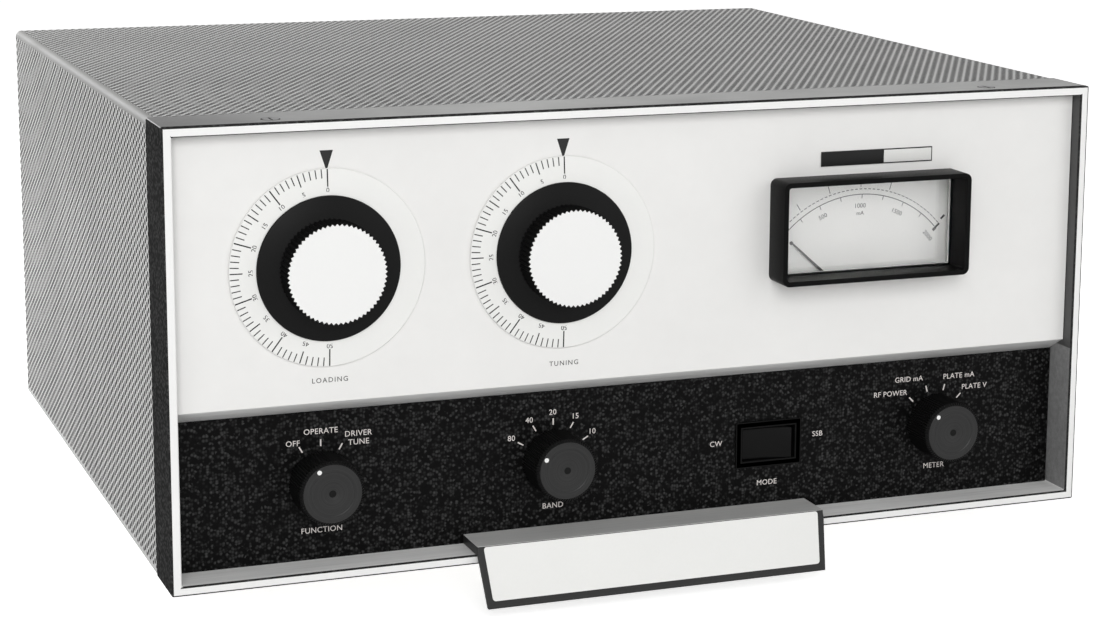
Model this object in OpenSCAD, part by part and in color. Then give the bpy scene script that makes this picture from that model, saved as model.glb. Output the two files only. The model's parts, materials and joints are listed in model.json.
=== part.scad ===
// Desktop linear amplifier for the short-wave bands.
// Measured in the cabinet's own frame: X to the right, Y back from the front lip of the bezel,
// Z up from the cabinet's underside. in_frame() then moves every piece so that the part stands
// on z = 0, centred in X and Y.

/* [Cabinet] */
// Outside width of the cabinet
cab_w = 406; // [396:1:430]
// Outside height of the cabinet, without the feet
cab_h = 186; // [182:1:200]
// Depth of the front bezel
bezel_d = 29.5; // [27:0.5:36]
// Depth of the perforated cover behind the bezel
cover_d = 324.5; // [316:0.5:350]
// Wall and front lip of the bezel
lip_t = 4; // [3:0.25:5]
// Height of the bezel's inner rib
rib_h = 8; // [6:0.5:10]
// Sheet thickness of the cover
cover_t = 1.2; // [0.8:0.1:1.6]
// Radius of the cover's upper bends
bend_r = 3; // [2:0.5:6]
// Width of the cover's return flange under the base
return_w = 14; // [10:1:18]
// Sheet thickness of the base, deck and sub-panel
sheet_t = 2; // [1.6:0.1:2.4]
// Clearance between fitted sheets
sheet_gap = 0.3; // [0.2:0.05:0.5]
// How far the rear panel sits inside the cover
rear_inset = 2; // [1:0.5:4]

/* [Cover openings] */
// Openings across the top of the cover
vent_across = 12; // [8:1:12]
// Openings from front to back, in the top and in each side
vent_along = 10; // [7:1:12]
// Openings from bottom to top in each side
vent_up = 5; // [4:1:6]
// Plain margin round each group of openings
vent_margin = 9; // [6:0.5:14]
// Width of each opening against the space for it
vent_share = 0.7; // [0.4:0.05:0.75]

/* [Feet and screws] */
// Height of a foot below the cabinet
foot_h = 22; // [18:0.5:28]
// Radius of a foot at its top
foot_r = 14; // [11:0.5:16]
// Distance of the foot centres from the sides
foot_side = 36; // [34:1:50]
// Distance of the front feet behind the lip
foot_front = 96; // [70:1:110]
// Distance of the rear feet from the back of the cover
foot_back = 34; // [24:1:60]
// Radius of a case screw's shank
screw_r = 2; // [1.5:0.1:2.5]
// Radius of a case screw's head
screw_head_r = 3.4; // [3:0.1:4]
// Distance of the bezel screws from the sides
bezel_screw_side = 45; // [30:1:60]

/* [Front panels] */
// Depth of the light upper panel behind the lip
upper_inset = 6.5; // [5.5:0.25:7.5]
// Depth of the black lower panel behind the lip
lower_inset = 17; // [16:0.5:18.5]
// Thickness of the upper panel
upper_t = 1.6; // [1.2:0.1:2]
// Thickness of the lower panel
lower_t = 2; // [1.5:0.1:2.5]
// Height of the upper panel's lower edge
strip_top_z = 72; // [71:0.5:74]
// Height of the lower panel's upper edge
strip_low_z = 66; // [64:0.5:67]
// Depth of the upper panel's folded top flange
fold_d = 9; // [7:0.5:10]
// Radius of the posts behind the upper panel
post_r = 4; // [3:0.25:5]

/* [Tuning dials] */
// Distance of the loading dial's axis from the left side
loading_side = 66; // [64:0.5:70]
// Distance between the two dial axes
dial_pitch = 98.7; // [94:0.1:102]
// Height of the dial axes
dial_z = 126.5; // [122:0.5:130]
// Radius of the graduated dial
dial_r = 39.2; // [35:0.2:41]
// Thickness of the dial at its rim
dial_rim_t = 0.8; // [0.6:0.1:1]
// Running gap between the dial and the panel
dial_gap = 0.4; // [0.3:0.05:0.6]
// Rise of the dial from its rim to the knob
dial_rise = 0.7; // [0.3:0.1:1]
// Radius of the knob's flange
flange_r = 29.2; // [26:0.2:32]
// Thickness of the knob's flange
flange_t = 1.2; // [1:0.1:2]
// Outer radius of the knob's fluted grip
grip_r = 20.4; // [17:0.2:23]
// Length of the fluted grip
grip_l = 12.3; // [9:0.1:16]
// Number of flutes round the grip
flutes = 64; // [48:1:80]
// Depth of a flute
flute_d = 0.9; // [0.5:0.1:1.3]

/* [Small knobs] */
// Height of the three small knobs' axes
small_z = 36; // [34:0.5:38]
// Radius of a small knob
small_r = 13.5; // [11:0.25:15]
// Length of a small knob
small_l = 17.6; // [14:0.2:20]
// Gap between a small knob and the panel
small_gap = 0.4; // [0.3:0.05:1]
// Number of ridges round a small knob
ridges = 72; // [48:1:90]
// Distance of the function knob's axis from the left side
function_side = 65; // [60:0.5:70]
// Distance of the band knob's axis from the left side
band_side = 164.6; // [160:0.5:168]
// Distance of the meter knob's axis from the right side
selector_side = 62; // [58:0.5:66]
// Distance of the mode rocker's centre from the right side
mode_side = 143; // [140:0.5:146]
// Height of the mode rocker's centre
mode_z = 34.5; // [33:0.5:37]

/* [Shafts and bearings] */
// Radius of the control shafts
shaft_r = 3.175; // [2.5:0.025:3.5]
// Radial running clearance of a shaft in its bearing
run_gap = 0.05; // [0.02:0.01:0.08]
// Radius of a switch bushing
bush_r = 4.7; // [4.4:0.1:5.5]
// Radius of a dial shaft's bearing boss
boss_r = 6; // [5:0.25:7]

/* [Mode rocker] */
// Width of the rocker
rocker_w = 24; // [22:0.5:26]
// Height of the rocker
rocker_h = 13.6; // [12:0.2:15]
// Tilt of the rocker to either side
rocker_tilt = 8; // [5:0.5:9]
// Width of the rocker's frame flange round the opening
rocker_rim = 1.6; // [1.2:0.1:2]

/* [Meter] */
// Distance of the meter's centre from the right side
meter_side = 104.85; // [103:0.5:107]
// Height of the meter hood's centre
meter_z = 130; // [127:0.5:132]
// Width of the meter hood
hood_w = 87.7; // [82:0.1:89]
// Height of the meter hood
hood_h = 44; // [40:0.5:48]
// How far the hood stands in front of the lip
hood_out = 8; // [5:0.5:10]
// Wall of the hood
hood_t = 2.1; // [1.5:0.1:2.8]
// Outer corner radius of the hood
hood_r = 3; // [2.2:0.1:4]
// Thickness of the meter's glass
glass_t = 2; // [1.5:0.1:3]
// Distance from the glass to the scale plate, where the needle swings
scale_gap = 3.8; // [3.4:0.1:4.5]
// Height of the needle's pivot below the hood's centre
pivot_drop = 35.9; // [34:0.1:36.5]
// Length of the needle from its pivot
needle_l = 43.5; // [40:0.5:45]
// Angle of the needle's rest position from upright
needle_rest = 48; // [40:0.5:50]
// Depth of the meter's case behind the panel
case_d = 36; // [30:0.5:42]
// Wall of the meter's case
case_t = 1.5; // [1:0.1:2]
// Outer radius of the movement's magnet ring
magnet_r = 15; // [13:0.5:16]

/* [Badge and nameplate] */
// Width of the blank badge above the meter
badge_w = 52.6; // [40:0.2:60]
// Height of the badge
badge_h = 6.3; // [5:0.1:8]
// Gap between the badge and the hood
badge_gap = 3.8; // [3:0.1:6]
// Half width of the nameplate at its ledge
plate_half = 78; // [70:0.5:84]
// How much narrower the nameplate is on each side at its foot
plate_taper = 2; // [0:0.25:5]
// Height of the nameplate's ledge above the bezel's floor
ledge_h = 4; // [3:0.1:5]
// How far the ledge stands in front of the lip
ledge_out = 2; // [1.5:0.1:3]
// Drop of the nameplate's face from the ledge
plate_drop = 24.5; // [20:0.5:25]
// Forward lean of the face over that drop
plate_lean = 8.2; // [5:0.2:9]
// Thickness of the nameplate's face
plate_t = 2.2; // [1.6:0.1:3]

/* [Radio-frequency deck] */
// Height of the deck's upper face
deck_z = 70; // [69:0.5:72]
// Gap between the deck and the rectifier board
supply_gap = 11; // [9:0.5:16]
// Gap between the deck and the cabinet's left side
deck_side = 7; // [6:0.5:9]
// Depth of the gap between the sub-panel and the deck
deck_front = 13; // [11:0.5:16]
// Radius of the loading capacitor's rotor plates
load_r = 25; // [22:0.5:27]
// Number of the loading capacitor's rotor plates
load_n = 10; // [6:1:11]
// Pitch of the loading capacitor's rotor plates
load_pitch = 5; // [4.4:0.1:5.4]
// Radius of the tuning capacitor's rotor plates
tune_r = 31; // [28:0.5:32]
// Number of the tuning capacitor's rotor plates
tune_n = 7; // [5:1:7]
// Pitch of the tuning capacitor's rotor plates
tune_pitch = 9; // [7:0.25:9.5]
// Thickness of the capacitor plates
vane_t = 1; // [0.8:0.1:1.2]
// Thickness of the capacitors' ceramic end plates
end_t = 5; // [4:0.25:6]
// Mean radius of the tank coil
coil_r = 29; // [24:0.5:30]
// Radius of the coil's tube
wire_r = 2.5; // [2:0.1:3]
// Pitch of the coil's turns
coil_pitch = 8.5; // [7.5:0.1:9]
// Number of the coil's whole turns
coil_n = 9; // [6:1:9]
// Distance of the coil's axis behind the sub-panel
coil_back = 140; // [138:0.5:146]
// Height of the coil's axis above the deck
coil_up = 54; // [46:0.5:60]
// Height of the coil's ceramic feet
coil_foot = 14; // [8:0.5:15]
// Radius of a tube's bulb
bulb_r = 28; // [25:0.5:30]
// Height of a tube's top above the deck
tube_h = 92; // [84:0.5:94]
// Distance between the two tubes
tube_pitch = 72; // [68:0.5:78]
// Distance of the tubes in front of the rear panel
tube_back = 98; // [86:0.5:100]
// Radius of a tube's base
tube_base_r = 19; // [17:0.25:20]
// Height of a tube's base
tube_base_h = 20; // [16:0.5:24]
// Radius of the anode cap on a tube
anode_r = 7; // [6:0.25:8]
// Height of the anode cap on a tube
anode_h = 8; // [6:0.5:9]

/* [Power supply] */
// Width of the plate transformer's core
core_w = 112; // [100:1:120]
// Thickness of the plate transformer's stack
core_d = 70; // [60:1:80]
// Height of the plate transformer's core
core_h = 92; // [84:1:100]
// Width of the core's outer limbs and yokes
limb = 19; // [16:0.5:20]
// How far the winding stands out of the core
winding_out = 14; // [8:0.5:16]
// Distance of the plate transformer's centre from the right side
core_side = 92; // [86:1:94]
// Distance of the plate transformer's centre in front of the rear panel
core_back = 70; // [66:1:74]
// Radius of a filter capacitor
can_r = 15; // [12:0.5:16]
// Height of a filter capacitor
can_h = 60; // [50:1:62]
// Distance between the filter capacitors
can_pitch = 36; // [34:0.5:37]
// Height of the rectifier board above the base
board_up = 8; // [6:0.5:10]

/* [Cooling fan] */
// Side of the fan's square frame
fan_w = 92; // [86:1:96]
// Depth of the fan's frame
fan_d = 25; // [24:0.5:28]
// Radius of the fan's duct
duct_r = 42; // [38:0.5:42.5]
// Number of the fan's blades
blades = 7; // [5:1:9]
// Gap between the blades and the duct
blade_gap = 2; // [1:0.25:3]

/* [Hidden] */

$fn = 96;
// A short overshoot, so that a cut passes cleanly through a face
cut = 1;

// Cabinet planes
half_w = cab_w / 2;
cab_d = bezel_d + cover_d;
sub_y = lower_inset + lower_t;
sub_back_y = sub_y + sheet_t;
rear_y = cab_d - rear_inset;
rear_in_y = rear_y - sheet_t;
base_z = cover_t + sheet_t;
in_half = half_w - cover_t - sheet_gap;
in_top = cab_h - cover_t - sheet_gap;
panel_half = half_w - lip_t - sheet_gap;
panel_top = cab_h - lip_t - sheet_gap;
floor_z = lip_t;

// Control axes
loading_x = loading_side - half_w;
tuning_x = loading_x + dial_pitch;
function_x = function_side - half_w;
band_x = band_side - half_w;
selector_x = half_w - selector_side;
mode_x = half_w - mode_side;
bore_r = shaft_r + run_gap;

// Dials and knobs
dial_back_y = upper_inset - dial_gap;
dial_front_y = dial_back_y - dial_rim_t - dial_rise;
flange_y = dial_front_y - flange_t;
grip_y = flange_y - grip_l;
shaft_front_y = grip_y + 3;
knob_y = lower_inset - small_gap - small_l;
small_shaft_y = knob_y + 4;
hub_gap = 0.02;

// Meter
meter_x = half_w - meter_side;
pivot_z = meter_z - pivot_drop;
window_w = hood_w - 2 * hood_t - 1.2;
window_h = hood_h - 2 * hood_t - 1.2;
upper_back_y = upper_inset + upper_t;
scale_y = upper_inset + scale_gap;
scale_t = 0.8;
needle_t = 0.6;
needle_y = scale_y - needle_t - 0.7;
pivot_r = 1;
case_low = pivot_z - magnet_r - case_t - 1;
case_high = meter_z + hood_h / 2 - 1;
case_h = case_high - case_low;
case_end_y = upper_back_y + case_d;
bar_t = 3;

// Front of the nameplate and back of the rear fittings set the middle of the part
plate_foot_y = -ledge_out - plate_lean;
gland_l = 18;
mid_y = (min(plate_foot_y, grip_y, -hood_out) + rear_y + gland_l) / 2;

// Capacitors: a ceramic plate at each end, with the vanes between them
cap_y = sub_back_y + deck_front + 2;
vane_gap = 4;
load_end_y = cap_y + end_t + vane_gap + (load_n + 0.5) * load_pitch + vane_gap;
tune_end_y = cap_y + end_t + vane_gap + (tune_n + 0.5) * tune_pitch + vane_gap;
spacer_r = shaft_r + 1.8;
rod_r = 2;

// Deck
deck_x0 = deck_side - half_w;
deck_y0 = sub_back_y + deck_front;
deck_y1 = rear_in_y - fan_d - 3;

// Coil
coil_x = loading_x + dial_pitch / 2;
coil_y = sub_back_y + coil_back;
coil_z = deck_z + coil_up;
coil_steps = 24;
coil_total = coil_n * coil_steps + coil_steps / 2;
coil_len = coil_pitch * (coil_n + 0.5);

// Tubes, with the choke beside the right-hand one
tubes_shift = 18;
tubes_x = loading_x + tubes_shift;
tubes_y = rear_y - tube_back;
tube_x = [tubes_x - tube_pitch / 2, tubes_x + tube_pitch / 2];
socket_h = 8;
socket_wall = 5;
socket_floor = 2;
choke_h = 84;
choke_r = 8;
choke_shift = 24;
choke_front = 18;
relay_side = 8;
relay_w = 32;
relay_d = 40;
relay_h = 52;
relay_foot = 2;

// Fan and rear panel
fan_x = tubes_x;
fan_hole = 5;
fan_z = min(dial_z, in_top - fan_w / 2 - 4);
fan_y = rear_in_y - fan_d;
hub_r = 16;
coax_pitch = 40;
coax_shift = -14;
coax_x = [for (s = [-0.5, 0.5]) fan_x + coax_shift + s * coax_pitch];
coax_z = small_z + 1;
fuse_side = 154;
fuse_pitch = 24;
fuse_x = [for (s = [-0.5, 0.5]) half_w - fuse_side + s * fuse_pitch];
fuse_z = small_z + 4;
ground_shift = 60;
ground_x = fan_x + ground_shift;
gland_side = 56;
gland_x = half_w - gland_side;

// Power supply
core_x = half_w - core_side;
core_y = rear_y - core_back;
board_z = base_z + board_up;
board_t = 1.6;
board_x = core_x;
board_back = 40;
board_edge = 7;
board_y0 = sub_back_y + board_back;
board_len = 2 * can_pitch + 2 * board_edge;
board_half = 2 * can_pitch + 4;
deck_x1 = board_x - board_half - supply_gap;
can_z = board_z + board_t;
fil_w = 62;
fil_d = 36;
fil_h = 52;
fil_gap = 8;
fil_foot = 9;
fil_y = board_y0 + board_len + fil_gap + fil_d / 2;

// Moves a piece from the cabinet's frame to the part's frame
module in_frame() {
    translate([0, -mid_y, foot_h])
        children();
}

// A cylinder along Y
module rod_y(r, y0, y1, fn = 96) {
    translate([0, y1, 0])
        rotate([90, 0, 0])
            cylinder(r = r, h = y1 - y0, $fn = fn);
}

// A flat outline in X and Z, drawn out along Y
module plate_y(y0, y1) {
    translate([0, y1, 0])
        rotate([90, 0, 0])
            linear_extrude(height = y1 - y0)
                children();
}

// A flat outline in Y and Z, drawn out along X
module bar_x(x0, x1) {
    translate([x0, 0, 0])
        rotate([90, 0, 90])
            linear_extrude(height = x1 - x0)
                children();
}

// A box given by its two corners
module block(low, high) {
    translate(low)
        cube(high - low);
}

// A centred rectangle with round corners
module round_rect(w, h, r) {
    square([w - 2 * r, h], center = true);
    square([w, h - 2 * r], center = true);
    for (sx = [-1, 1], sz = [-1, 1])
        translate([sx * (w / 2 - r), sz * (h / 2 - r)])
            circle(r = r, $fn = 48);
}

// The outline of a ridged knob: n ridges of depth d round radius r
module ridged(r, n, d) {
    polygon([for (i = [0:2 * n - 1])
        let (a = i * 180 / n, q = (i % 2 == 0) ? r : r - d)
        [q * cos(a), q * sin(a)]]);
}

// ---------------------------------------------------------------- cabinet

module bezel() {
    color("gainsboro") in_frame() difference() {
        block([-half_w, 0, 0], [half_w, bezel_d, cab_h]);
        block([lip_t - half_w, -cut, lip_t], [half_w - lip_t, sub_back_y, cab_h - lip_t]);
        block([lip_t + rib_h - half_w, 0, lip_t + rib_h],
            [half_w - lip_t - rib_h, bezel_d + cut, cab_h - lip_t - rib_h]);
        for (sx = [-1, 1])
            translate([sx * (half_w - bezel_screw_side), bezel_screw_y(), 0])
                screw_bore(cab_h);
    }
}

// Where the bezel's top screws stand behind the lip
function bezel_screw_y() = upper_back_y + screw_r + 0.6;
head_t = 1.6;
// Depth of rubber between a foot screw's head and the base
foot_seat = 4;

// A countersunk hole from height z downwards
module screw_bore(z) {
    translate([0, 0, z - lip_t - cut])
        cylinder(r = screw_r + 0.1, h = lip_t + 2 * cut);
    translate([0, 0, z - head_t])
        cylinder(r = screw_head_r + 0.1, h = head_t + cut);
}

// The cover's outline: two upper bends and a square foot
module cover_outline(inset, r, low) {
    half = half_w - inset;
    top = cab_h - inset;
    translate([-half, low])
        square([2 * half, top - r - low]);
    translate([r - half, low])
        square([2 * (half - r), top - low]);
    for (sx = [-1, 1])
        translate([sx * (half - r), top - r])
            circle(r = r, $fn = 48);
}

// A flat group of six-sided openings over [0, w] by [0, l], which stands for the fine perforation
module vent_group(w, l, across, along) {
    room = [w / across, l / along];
    for (i = [0 : across - 1], j = [0 : along - 1])
        translate([(i + 0.5) * room.x, (j + 0.5) * room.y])
            circle(d = vent_share * min(room.x, room.y) / cos(30), $fn = 6);
}

module cover() {
    vent_y = bezel_d + vent_margin;
    vent_l = cover_d - 2 * vent_margin;
    color("darkgray") in_frame() difference() {
        plate_y(bezel_d, cab_d) difference() {
            cover_outline(0, bend_r, 0);
            cover_outline(cover_t, bend_r - cover_t, cover_t);
            translate([return_w - half_w, -cut])
                square([cab_w - 2 * return_w, cover_t + 2 * cut]);
        }
        translate([vent_margin - half_w, vent_y, cab_h - cover_t - cut])
            linear_extrude(height = cover_t + 2 * cut)
                vent_group(cab_w - 2 * vent_margin, vent_l, vent_across, vent_along);
        // One cut goes through both sides
        translate([0, vent_y, vent_margin])
            rotate([0, -90, 0])
                linear_extrude(height = cab_w + 2 * cut, center = true)
                    vent_group(cab_h - 2 * vent_margin, vent_l, vent_up, vent_along);
    }
}

pan_h = 16;
foot_x = half_w - foot_side;
foot_y = [foot_front, cab_d - foot_back];

module chassis_base() {
    color("silver") in_frame() difference() {
        union() {
            block([-in_half, bezel_d, cover_t], [in_half, rear_in_y, base_z]);
            block([-in_half, bezel_d, cover_t], [in_half, bezel_d + sheet_t, pan_h]);
            for (sx = [0, 1])
                mirror([sx, 0, 0])
                    block([in_half - sheet_t, bezel_d, cover_t], [in_half, rear_in_y, pan_h]);
        }
        for (sx = [-1, 1], y = foot_y)
            translate([sx * foot_x, y, 0])
                cylinder(r = screw_r + 0.1, h = base_z + cut);
    }
}

module feet() {
    color("dimgray") in_frame()
        for (sx = [-1, 1], y = foot_y)
            translate([sx * foot_x, y, -foot_h])
                rotate_extrude()
                    polygon([[screw_head_r + 0.6, 0], [foot_r - 3, 0], [foot_r - 1.6, 1.4],
                        [foot_r, foot_h + cover_t], [screw_r + 0.1, foot_h + cover_t],
                        [screw_r + 0.1, foot_h - foot_seat],
                        [screw_head_r + 0.6, foot_h - foot_seat]]);
}

// A screw with its head's outer face at z = 0 and its shank upwards
module case_screw(l) {
    difference() {
        union() {
            cylinder(r = screw_head_r, h = head_t);
            translate([0, 0, head_t])
                cylinder(r = screw_r, h = l);
        }
        translate([-0.4, -screw_head_r, -cut])
            cube([0.8, 2 * screw_head_r, cut + 0.6]);
    }
}

module case_screws() {
    color("gray") in_frame() {
        for (sx = [-1, 1], y = foot_y)
            translate([sx * foot_x, y, -foot_seat - head_t])
                case_screw(foot_seat + base_z - 0.2);
        for (sx = [-1, 1])
            translate([sx * (half_w - bezel_screw_side), bezel_screw_y(), cab_h])
                rotate([180, 0, 0])
                    case_screw(lip_t + 2 * upper_t);
    }
}

// ---------------------------------------------------------------- front panels

module sub_panel() {
    color("lightgray") in_frame() difference() {
        block([-panel_half, sub_y, floor_z], [panel_half, sub_back_y, panel_top]);
        for (x = [loading_x, tuning_x])
            translate([x, 0, dial_z])
                rod_y(boss_r + 0.1, sub_y - cut, sub_back_y + cut);
        for (x = [function_x, band_x, selector_x])
            translate([x, 0, small_z])
                rod_y(bush_r + 0.1, sub_y - cut, sub_back_y + cut);
        rocker_opening(sub_y - cut, sub_back_y + cut);
        block([meter_x - hood_w / 2 - sheet_gap, sub_y - cut, case_low - sheet_gap],
            [meter_x + hood_w / 2 + sheet_gap, sub_back_y + cut, case_high + sheet_gap]);
    }
}

module upper_panel() {
    color("whitesmoke") in_frame() difference() {
        union() {
            block([-panel_half, upper_inset, strip_top_z], [panel_half, upper_back_y, panel_top]);
            block([rib_h - panel_half, upper_inset, panel_top - upper_t],
                [panel_half - rib_h, upper_inset + fold_d, panel_top]);
        }
        for (x = [loading_x, tuning_x])
            translate([x, 0, dial_z])
                rod_y(boss_r + 0.1, upper_inset - cut, upper_back_y + cut);
        block([meter_x - window_w / 2, 0, meter_z - window_h / 2],
            [meter_x + window_w / 2, upper_back_y + cut, meter_z + window_h / 2]);
        for (sx = [-1, 1])
            translate([sx * (half_w - bezel_screw_side), bezel_screw_y(), panel_top - 2 * upper_t])
                cylinder(r = screw_r + 0.1, h = 3 * upper_t);
    }
}

module lower_panel() {
    color("black") in_frame() difference() {
        block([-panel_half, lower_inset, floor_z], [panel_half, sub_y, strip_low_z]);
        for (x = [function_x, band_x, selector_x])
            translate([x, 0, small_z])
                rod_y(bush_r + 0.1, lower_inset - cut, sub_y + cut);
        rocker_opening(lower_inset - cut, sub_y + cut);
    }
}

module trim_strip() {
    color("white") in_frame() bar_x(-panel_half, panel_half)
        polygon([[upper_inset, strip_top_z], [lower_inset, strip_low_z], [sub_y, strip_low_z],
            [sub_y, strip_top_z]]);
}

module panel_posts() {
    post_x = [12 - panel_half, (tuning_x + dial_r + meter_x - hood_w / 2) / 2, panel_half - 12];
    color("silver") in_frame()
        for (x = post_x, z = [strip_top_z + post_r + 4, panel_top - upper_t - post_r - 1])
            translate([x, 0, z])
                rod_y(post_r, upper_back_y, sub_y);
}

module badge() {
    low = meter_z + hood_h / 2 + badge_gap;
    color("dimgray") in_frame()
        block([meter_x + 5.6 - badge_w / 2, upper_inset - 0.6, low],
            [meter_x + 5.6 + badge_w / 2, upper_inset, low + badge_h]);
}

module nameplate() {
    slope = plate_lean / plate_drop;
    back_y = plate_t * cos(atan(slope));
    back_z = plate_t * sin(atan(slope));
    top_z = floor_z + ledge_h;
    under_y = back_y - ledge_out - (ledge_h - back_z) * slope;
    color("white") in_frame() intersection() {
        bar_x(-plate_half, plate_half)
            polygon([[lower_inset - 0.2, floor_z], [lower_inset - 0.2, top_z], [-ledge_out, top_z],
                [plate_foot_y, top_z - plate_drop],
                [plate_foot_y + back_y, top_z - plate_drop - back_z],
                [min(under_y, -0.1), floor_z]]);
        plate_y(plate_foot_y - cut, lower_inset)
            polygon([[-plate_half, top_z + cut], [-plate_half, floor_z],
                [plate_taper - plate_half, top_z - plate_drop - plate_t],
                [plate_half - plate_taper, top_z - plate_drop - plate_t],
                [plate_half, floor_z], [plate_half, top_z + cut]]);
    }
}

// ---------------------------------------------------------------- dials and their capacitors

// A revolved outline given as radius and Y
module revolve_y(points) {
    rotate([-90, 0, 0])
        rotate_extrude($fn = 128)
            polygon(points);
}

module dial(x) {
    in_frame() translate([x, 0, dial_z])
        revolve_y([[boss_r, dial_front_y], [flange_r, dial_front_y],
            [dial_r, dial_back_y - dial_rim_t], [dial_r, dial_back_y], [boss_r, dial_back_y]]);
}

module dial_knob(x) {
    in_frame() translate([x, 0, dial_z]) difference() {
        union() {
            rod_y(flange_r, flange_y, dial_front_y, 128);
            plate_y(grip_y, flange_y)
                ridged(grip_r, flutes, flute_d);
            rod_y(boss_r - 0.2, dial_front_y, dial_back_y);
        }
        rod_y(shaft_r + hub_gap, shaft_front_y, dial_back_y + cut);
    }
}

// Shaft with half-round vanes: n vanes of radius r at the given pitch
module rotor(x, r, n, pitch, end_y) {
    y0 = cap_y + end_t + vane_gap;
    in_frame() translate([x, 0, dial_z]) union() {
        rod_y(shaft_r, shaft_front_y + 0.1, end_y + end_t + 3);
        rod_y(spacer_r, cap_y + end_t + 1, end_y - 1);
        for (i = [0:n - 1])
            plate_y(y0 + (i + 0.5) * pitch - vane_t / 2, y0 + (i + 0.5) * pitch + vane_t / 2)
                difference() {
                    circle(r = r);
                    translate([-r - cut, 0])
                        square([2 * r + 2 * cut, r + cut]);
                }
    }
}

// Where the two rods stand that carry the fixed vanes, from the shaft
function rod_at(r) = [(r + rod_r + 2.5) * cos(36), -(r + rod_r + 2.5) * sin(36)];

// The fixed vanes between the moving ones, on two rods
module stator(x, r, n, pitch, end_y) {
    y0 = cap_y + end_t + vane_gap;
    p = rod_at(r);
    in_frame() translate([x, 0, dial_z]) union() {
        for (sx = [-1, 1])
            translate([sx * p[0], 0, p[1]])
                rod_y(rod_r, cap_y + end_t, end_y);
        for (i = [0:n])
            plate_y(y0 + i * pitch - vane_t / 2, y0 + i * pitch + vane_t / 2)
                difference() {
                    circle(r = r + 2 * rod_r + 3);
                    circle(r = spacer_r + 1.6);
                    translate([-r - 20, -2])
                        square([2 * r + 40, r + 30]);
                }
    }
}

// Two ceramic end plates that stand on the deck, joined by tie bars, with the shaft's bearings
module cap_frame(x, r, end_y) {
    half = r + 7;
    top = dial_z + half;
    in_frame() difference() {
        union() {
            for (y = [cap_y, end_y])
                block([x - half, y, deck_z], [x + half, y + end_t, top]);
            for (sx = [-1, 1])
                translate([x + sx * (half - 4), 0, top - 4])
                    rod_y(2.5, cap_y + 1, end_y + end_t - 1);
            translate([x, 0, dial_z])
                rod_y(boss_r, upper_inset + 0.2, cap_y + 1);
        }
        translate([x, 0, dial_z])
            rod_y(bore_r, -cut, end_y + end_t + cut);
    }
}

module loading_dial() { color("whitesmoke") dial(loading_x); }
module loading_knob() { color("black") dial_knob(loading_x); }
module loading_rotor() { color("silver") rotor(loading_x, load_r, load_n, load_pitch, load_end_y); }
module loading_stator() {
    color("lightgray") stator(loading_x, load_r, load_n, load_pitch, load_end_y);
}
module loading_frame() { color("ivory") cap_frame(loading_x, load_r, load_end_y); }
module tuning_dial() { color("whitesmoke") dial(tuning_x); }
module tuning_knob() { color("black") dial_knob(tuning_x); }
module tuning_rotor() { color("silver") rotor(tuning_x, tune_r, tune_n, tune_pitch, tune_end_y); }
module tuning_stator() {
    color("lightgray") stator(tuning_x, tune_r, tune_n, tune_pitch, tune_end_y);
}
module tuning_frame() { color("ivory") cap_frame(tuning_x, tune_r, tune_end_y); }

// ---------------------------------------------------------------- rotary switches

wafer_t = 3;
wafer_pitch = 30;
wafer_y = sub_back_y + 20;
switch_r = 20;
index_r = 16;
index_t = 4;
switch_tail = 6;
switch_screw_x = 14.5;

module small_knob(x) {
    in_frame() translate([x, 0, small_z]) difference() {
        plate_y(knob_y, knob_y + small_l)
            ridged(small_r, ridges, 0.6);
        rod_y(shaft_r + hub_gap, small_shaft_y, lower_inset + cut);
    }
}

// Shaft with a round rotor in each of n wafers
module switch_rotor(x, n) {
    in_frame() translate([x, 0, small_z]) union() {
        rod_y(shaft_r, small_shaft_y + 0.1, wafer_y + (n - 1) * wafer_pitch + wafer_t + switch_tail);
        for (i = [0:n - 1])
            rod_y(switch_r / 2, wafer_y + i * wafer_pitch, wafer_y + i * wafer_pitch + wafer_t);
    }
}

// Bushing, index plate, wafers and the two long screws that hold them
module switch_body(x, n) {
    end_y = wafer_y + (n - 1) * wafer_pitch + wafer_t;
    in_frame() translate([x, 0, small_z]) difference() {
        union() {
            rod_y(bush_r, lower_inset, sub_back_y + 1);
            rod_y(index_r, sub_back_y, sub_back_y + index_t);
            for (i = [0:n - 1])
                rod_y(switch_r, wafer_y + i * wafer_pitch, wafer_y + i * wafer_pitch + wafer_t);
            for (sx = [-1, 1])
                translate([sx * switch_screw_x, 0, 0])
                    rod_y(1.6, sub_back_y + 1, end_y + 2);
        }
        rod_y(bore_r, -cut, sub_back_y + index_t + cut);
        rod_y(switch_r / 2 + 0.1, sub_back_y + index_t + 1, end_y + cut);
    }
}

module function_knob() { color("black") small_knob(function_x); }
module function_rotor() { color("silver") switch_rotor(function_x, 1); }
module function_switch() { color("peru") switch_body(function_x, 1); }
module band_knob() { color("black") small_knob(band_x); }
module band_rotor() { color("silver") switch_rotor(band_x, 3); }
module band_switch() { color("peru") switch_body(band_x, 3); }
module selector_knob() { color("black") small_knob(selector_x); }
module selector_rotor() { color("silver") switch_rotor(selector_x, 1); }
module selector_switch() { color("peru") switch_body(selector_x, 1); }

// ---------------------------------------------------------------- mode rocker

rocker_gap = 0.5;
rocker_open_w = rocker_w + 2 * rocker_gap;
rocker_open_h = rocker_h + 2 * rocker_gap;
rocker_pin_r = 1.5;
rocker_d = 16;
rocker_wall = 1.2;
rocker_pivot_y = lower_inset + 5;

module rocker_opening(y0, y1) {
    block([mode_x - rocker_open_w / 2 - rocker_wall - 0.1, y0,
            mode_z - rocker_open_h / 2 - rocker_wall - 0.1],
        [mode_x + rocker_open_w / 2 + rocker_wall + 0.1, y1,
            mode_z + rocker_open_h / 2 + rocker_wall + 0.1]);
}

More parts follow.
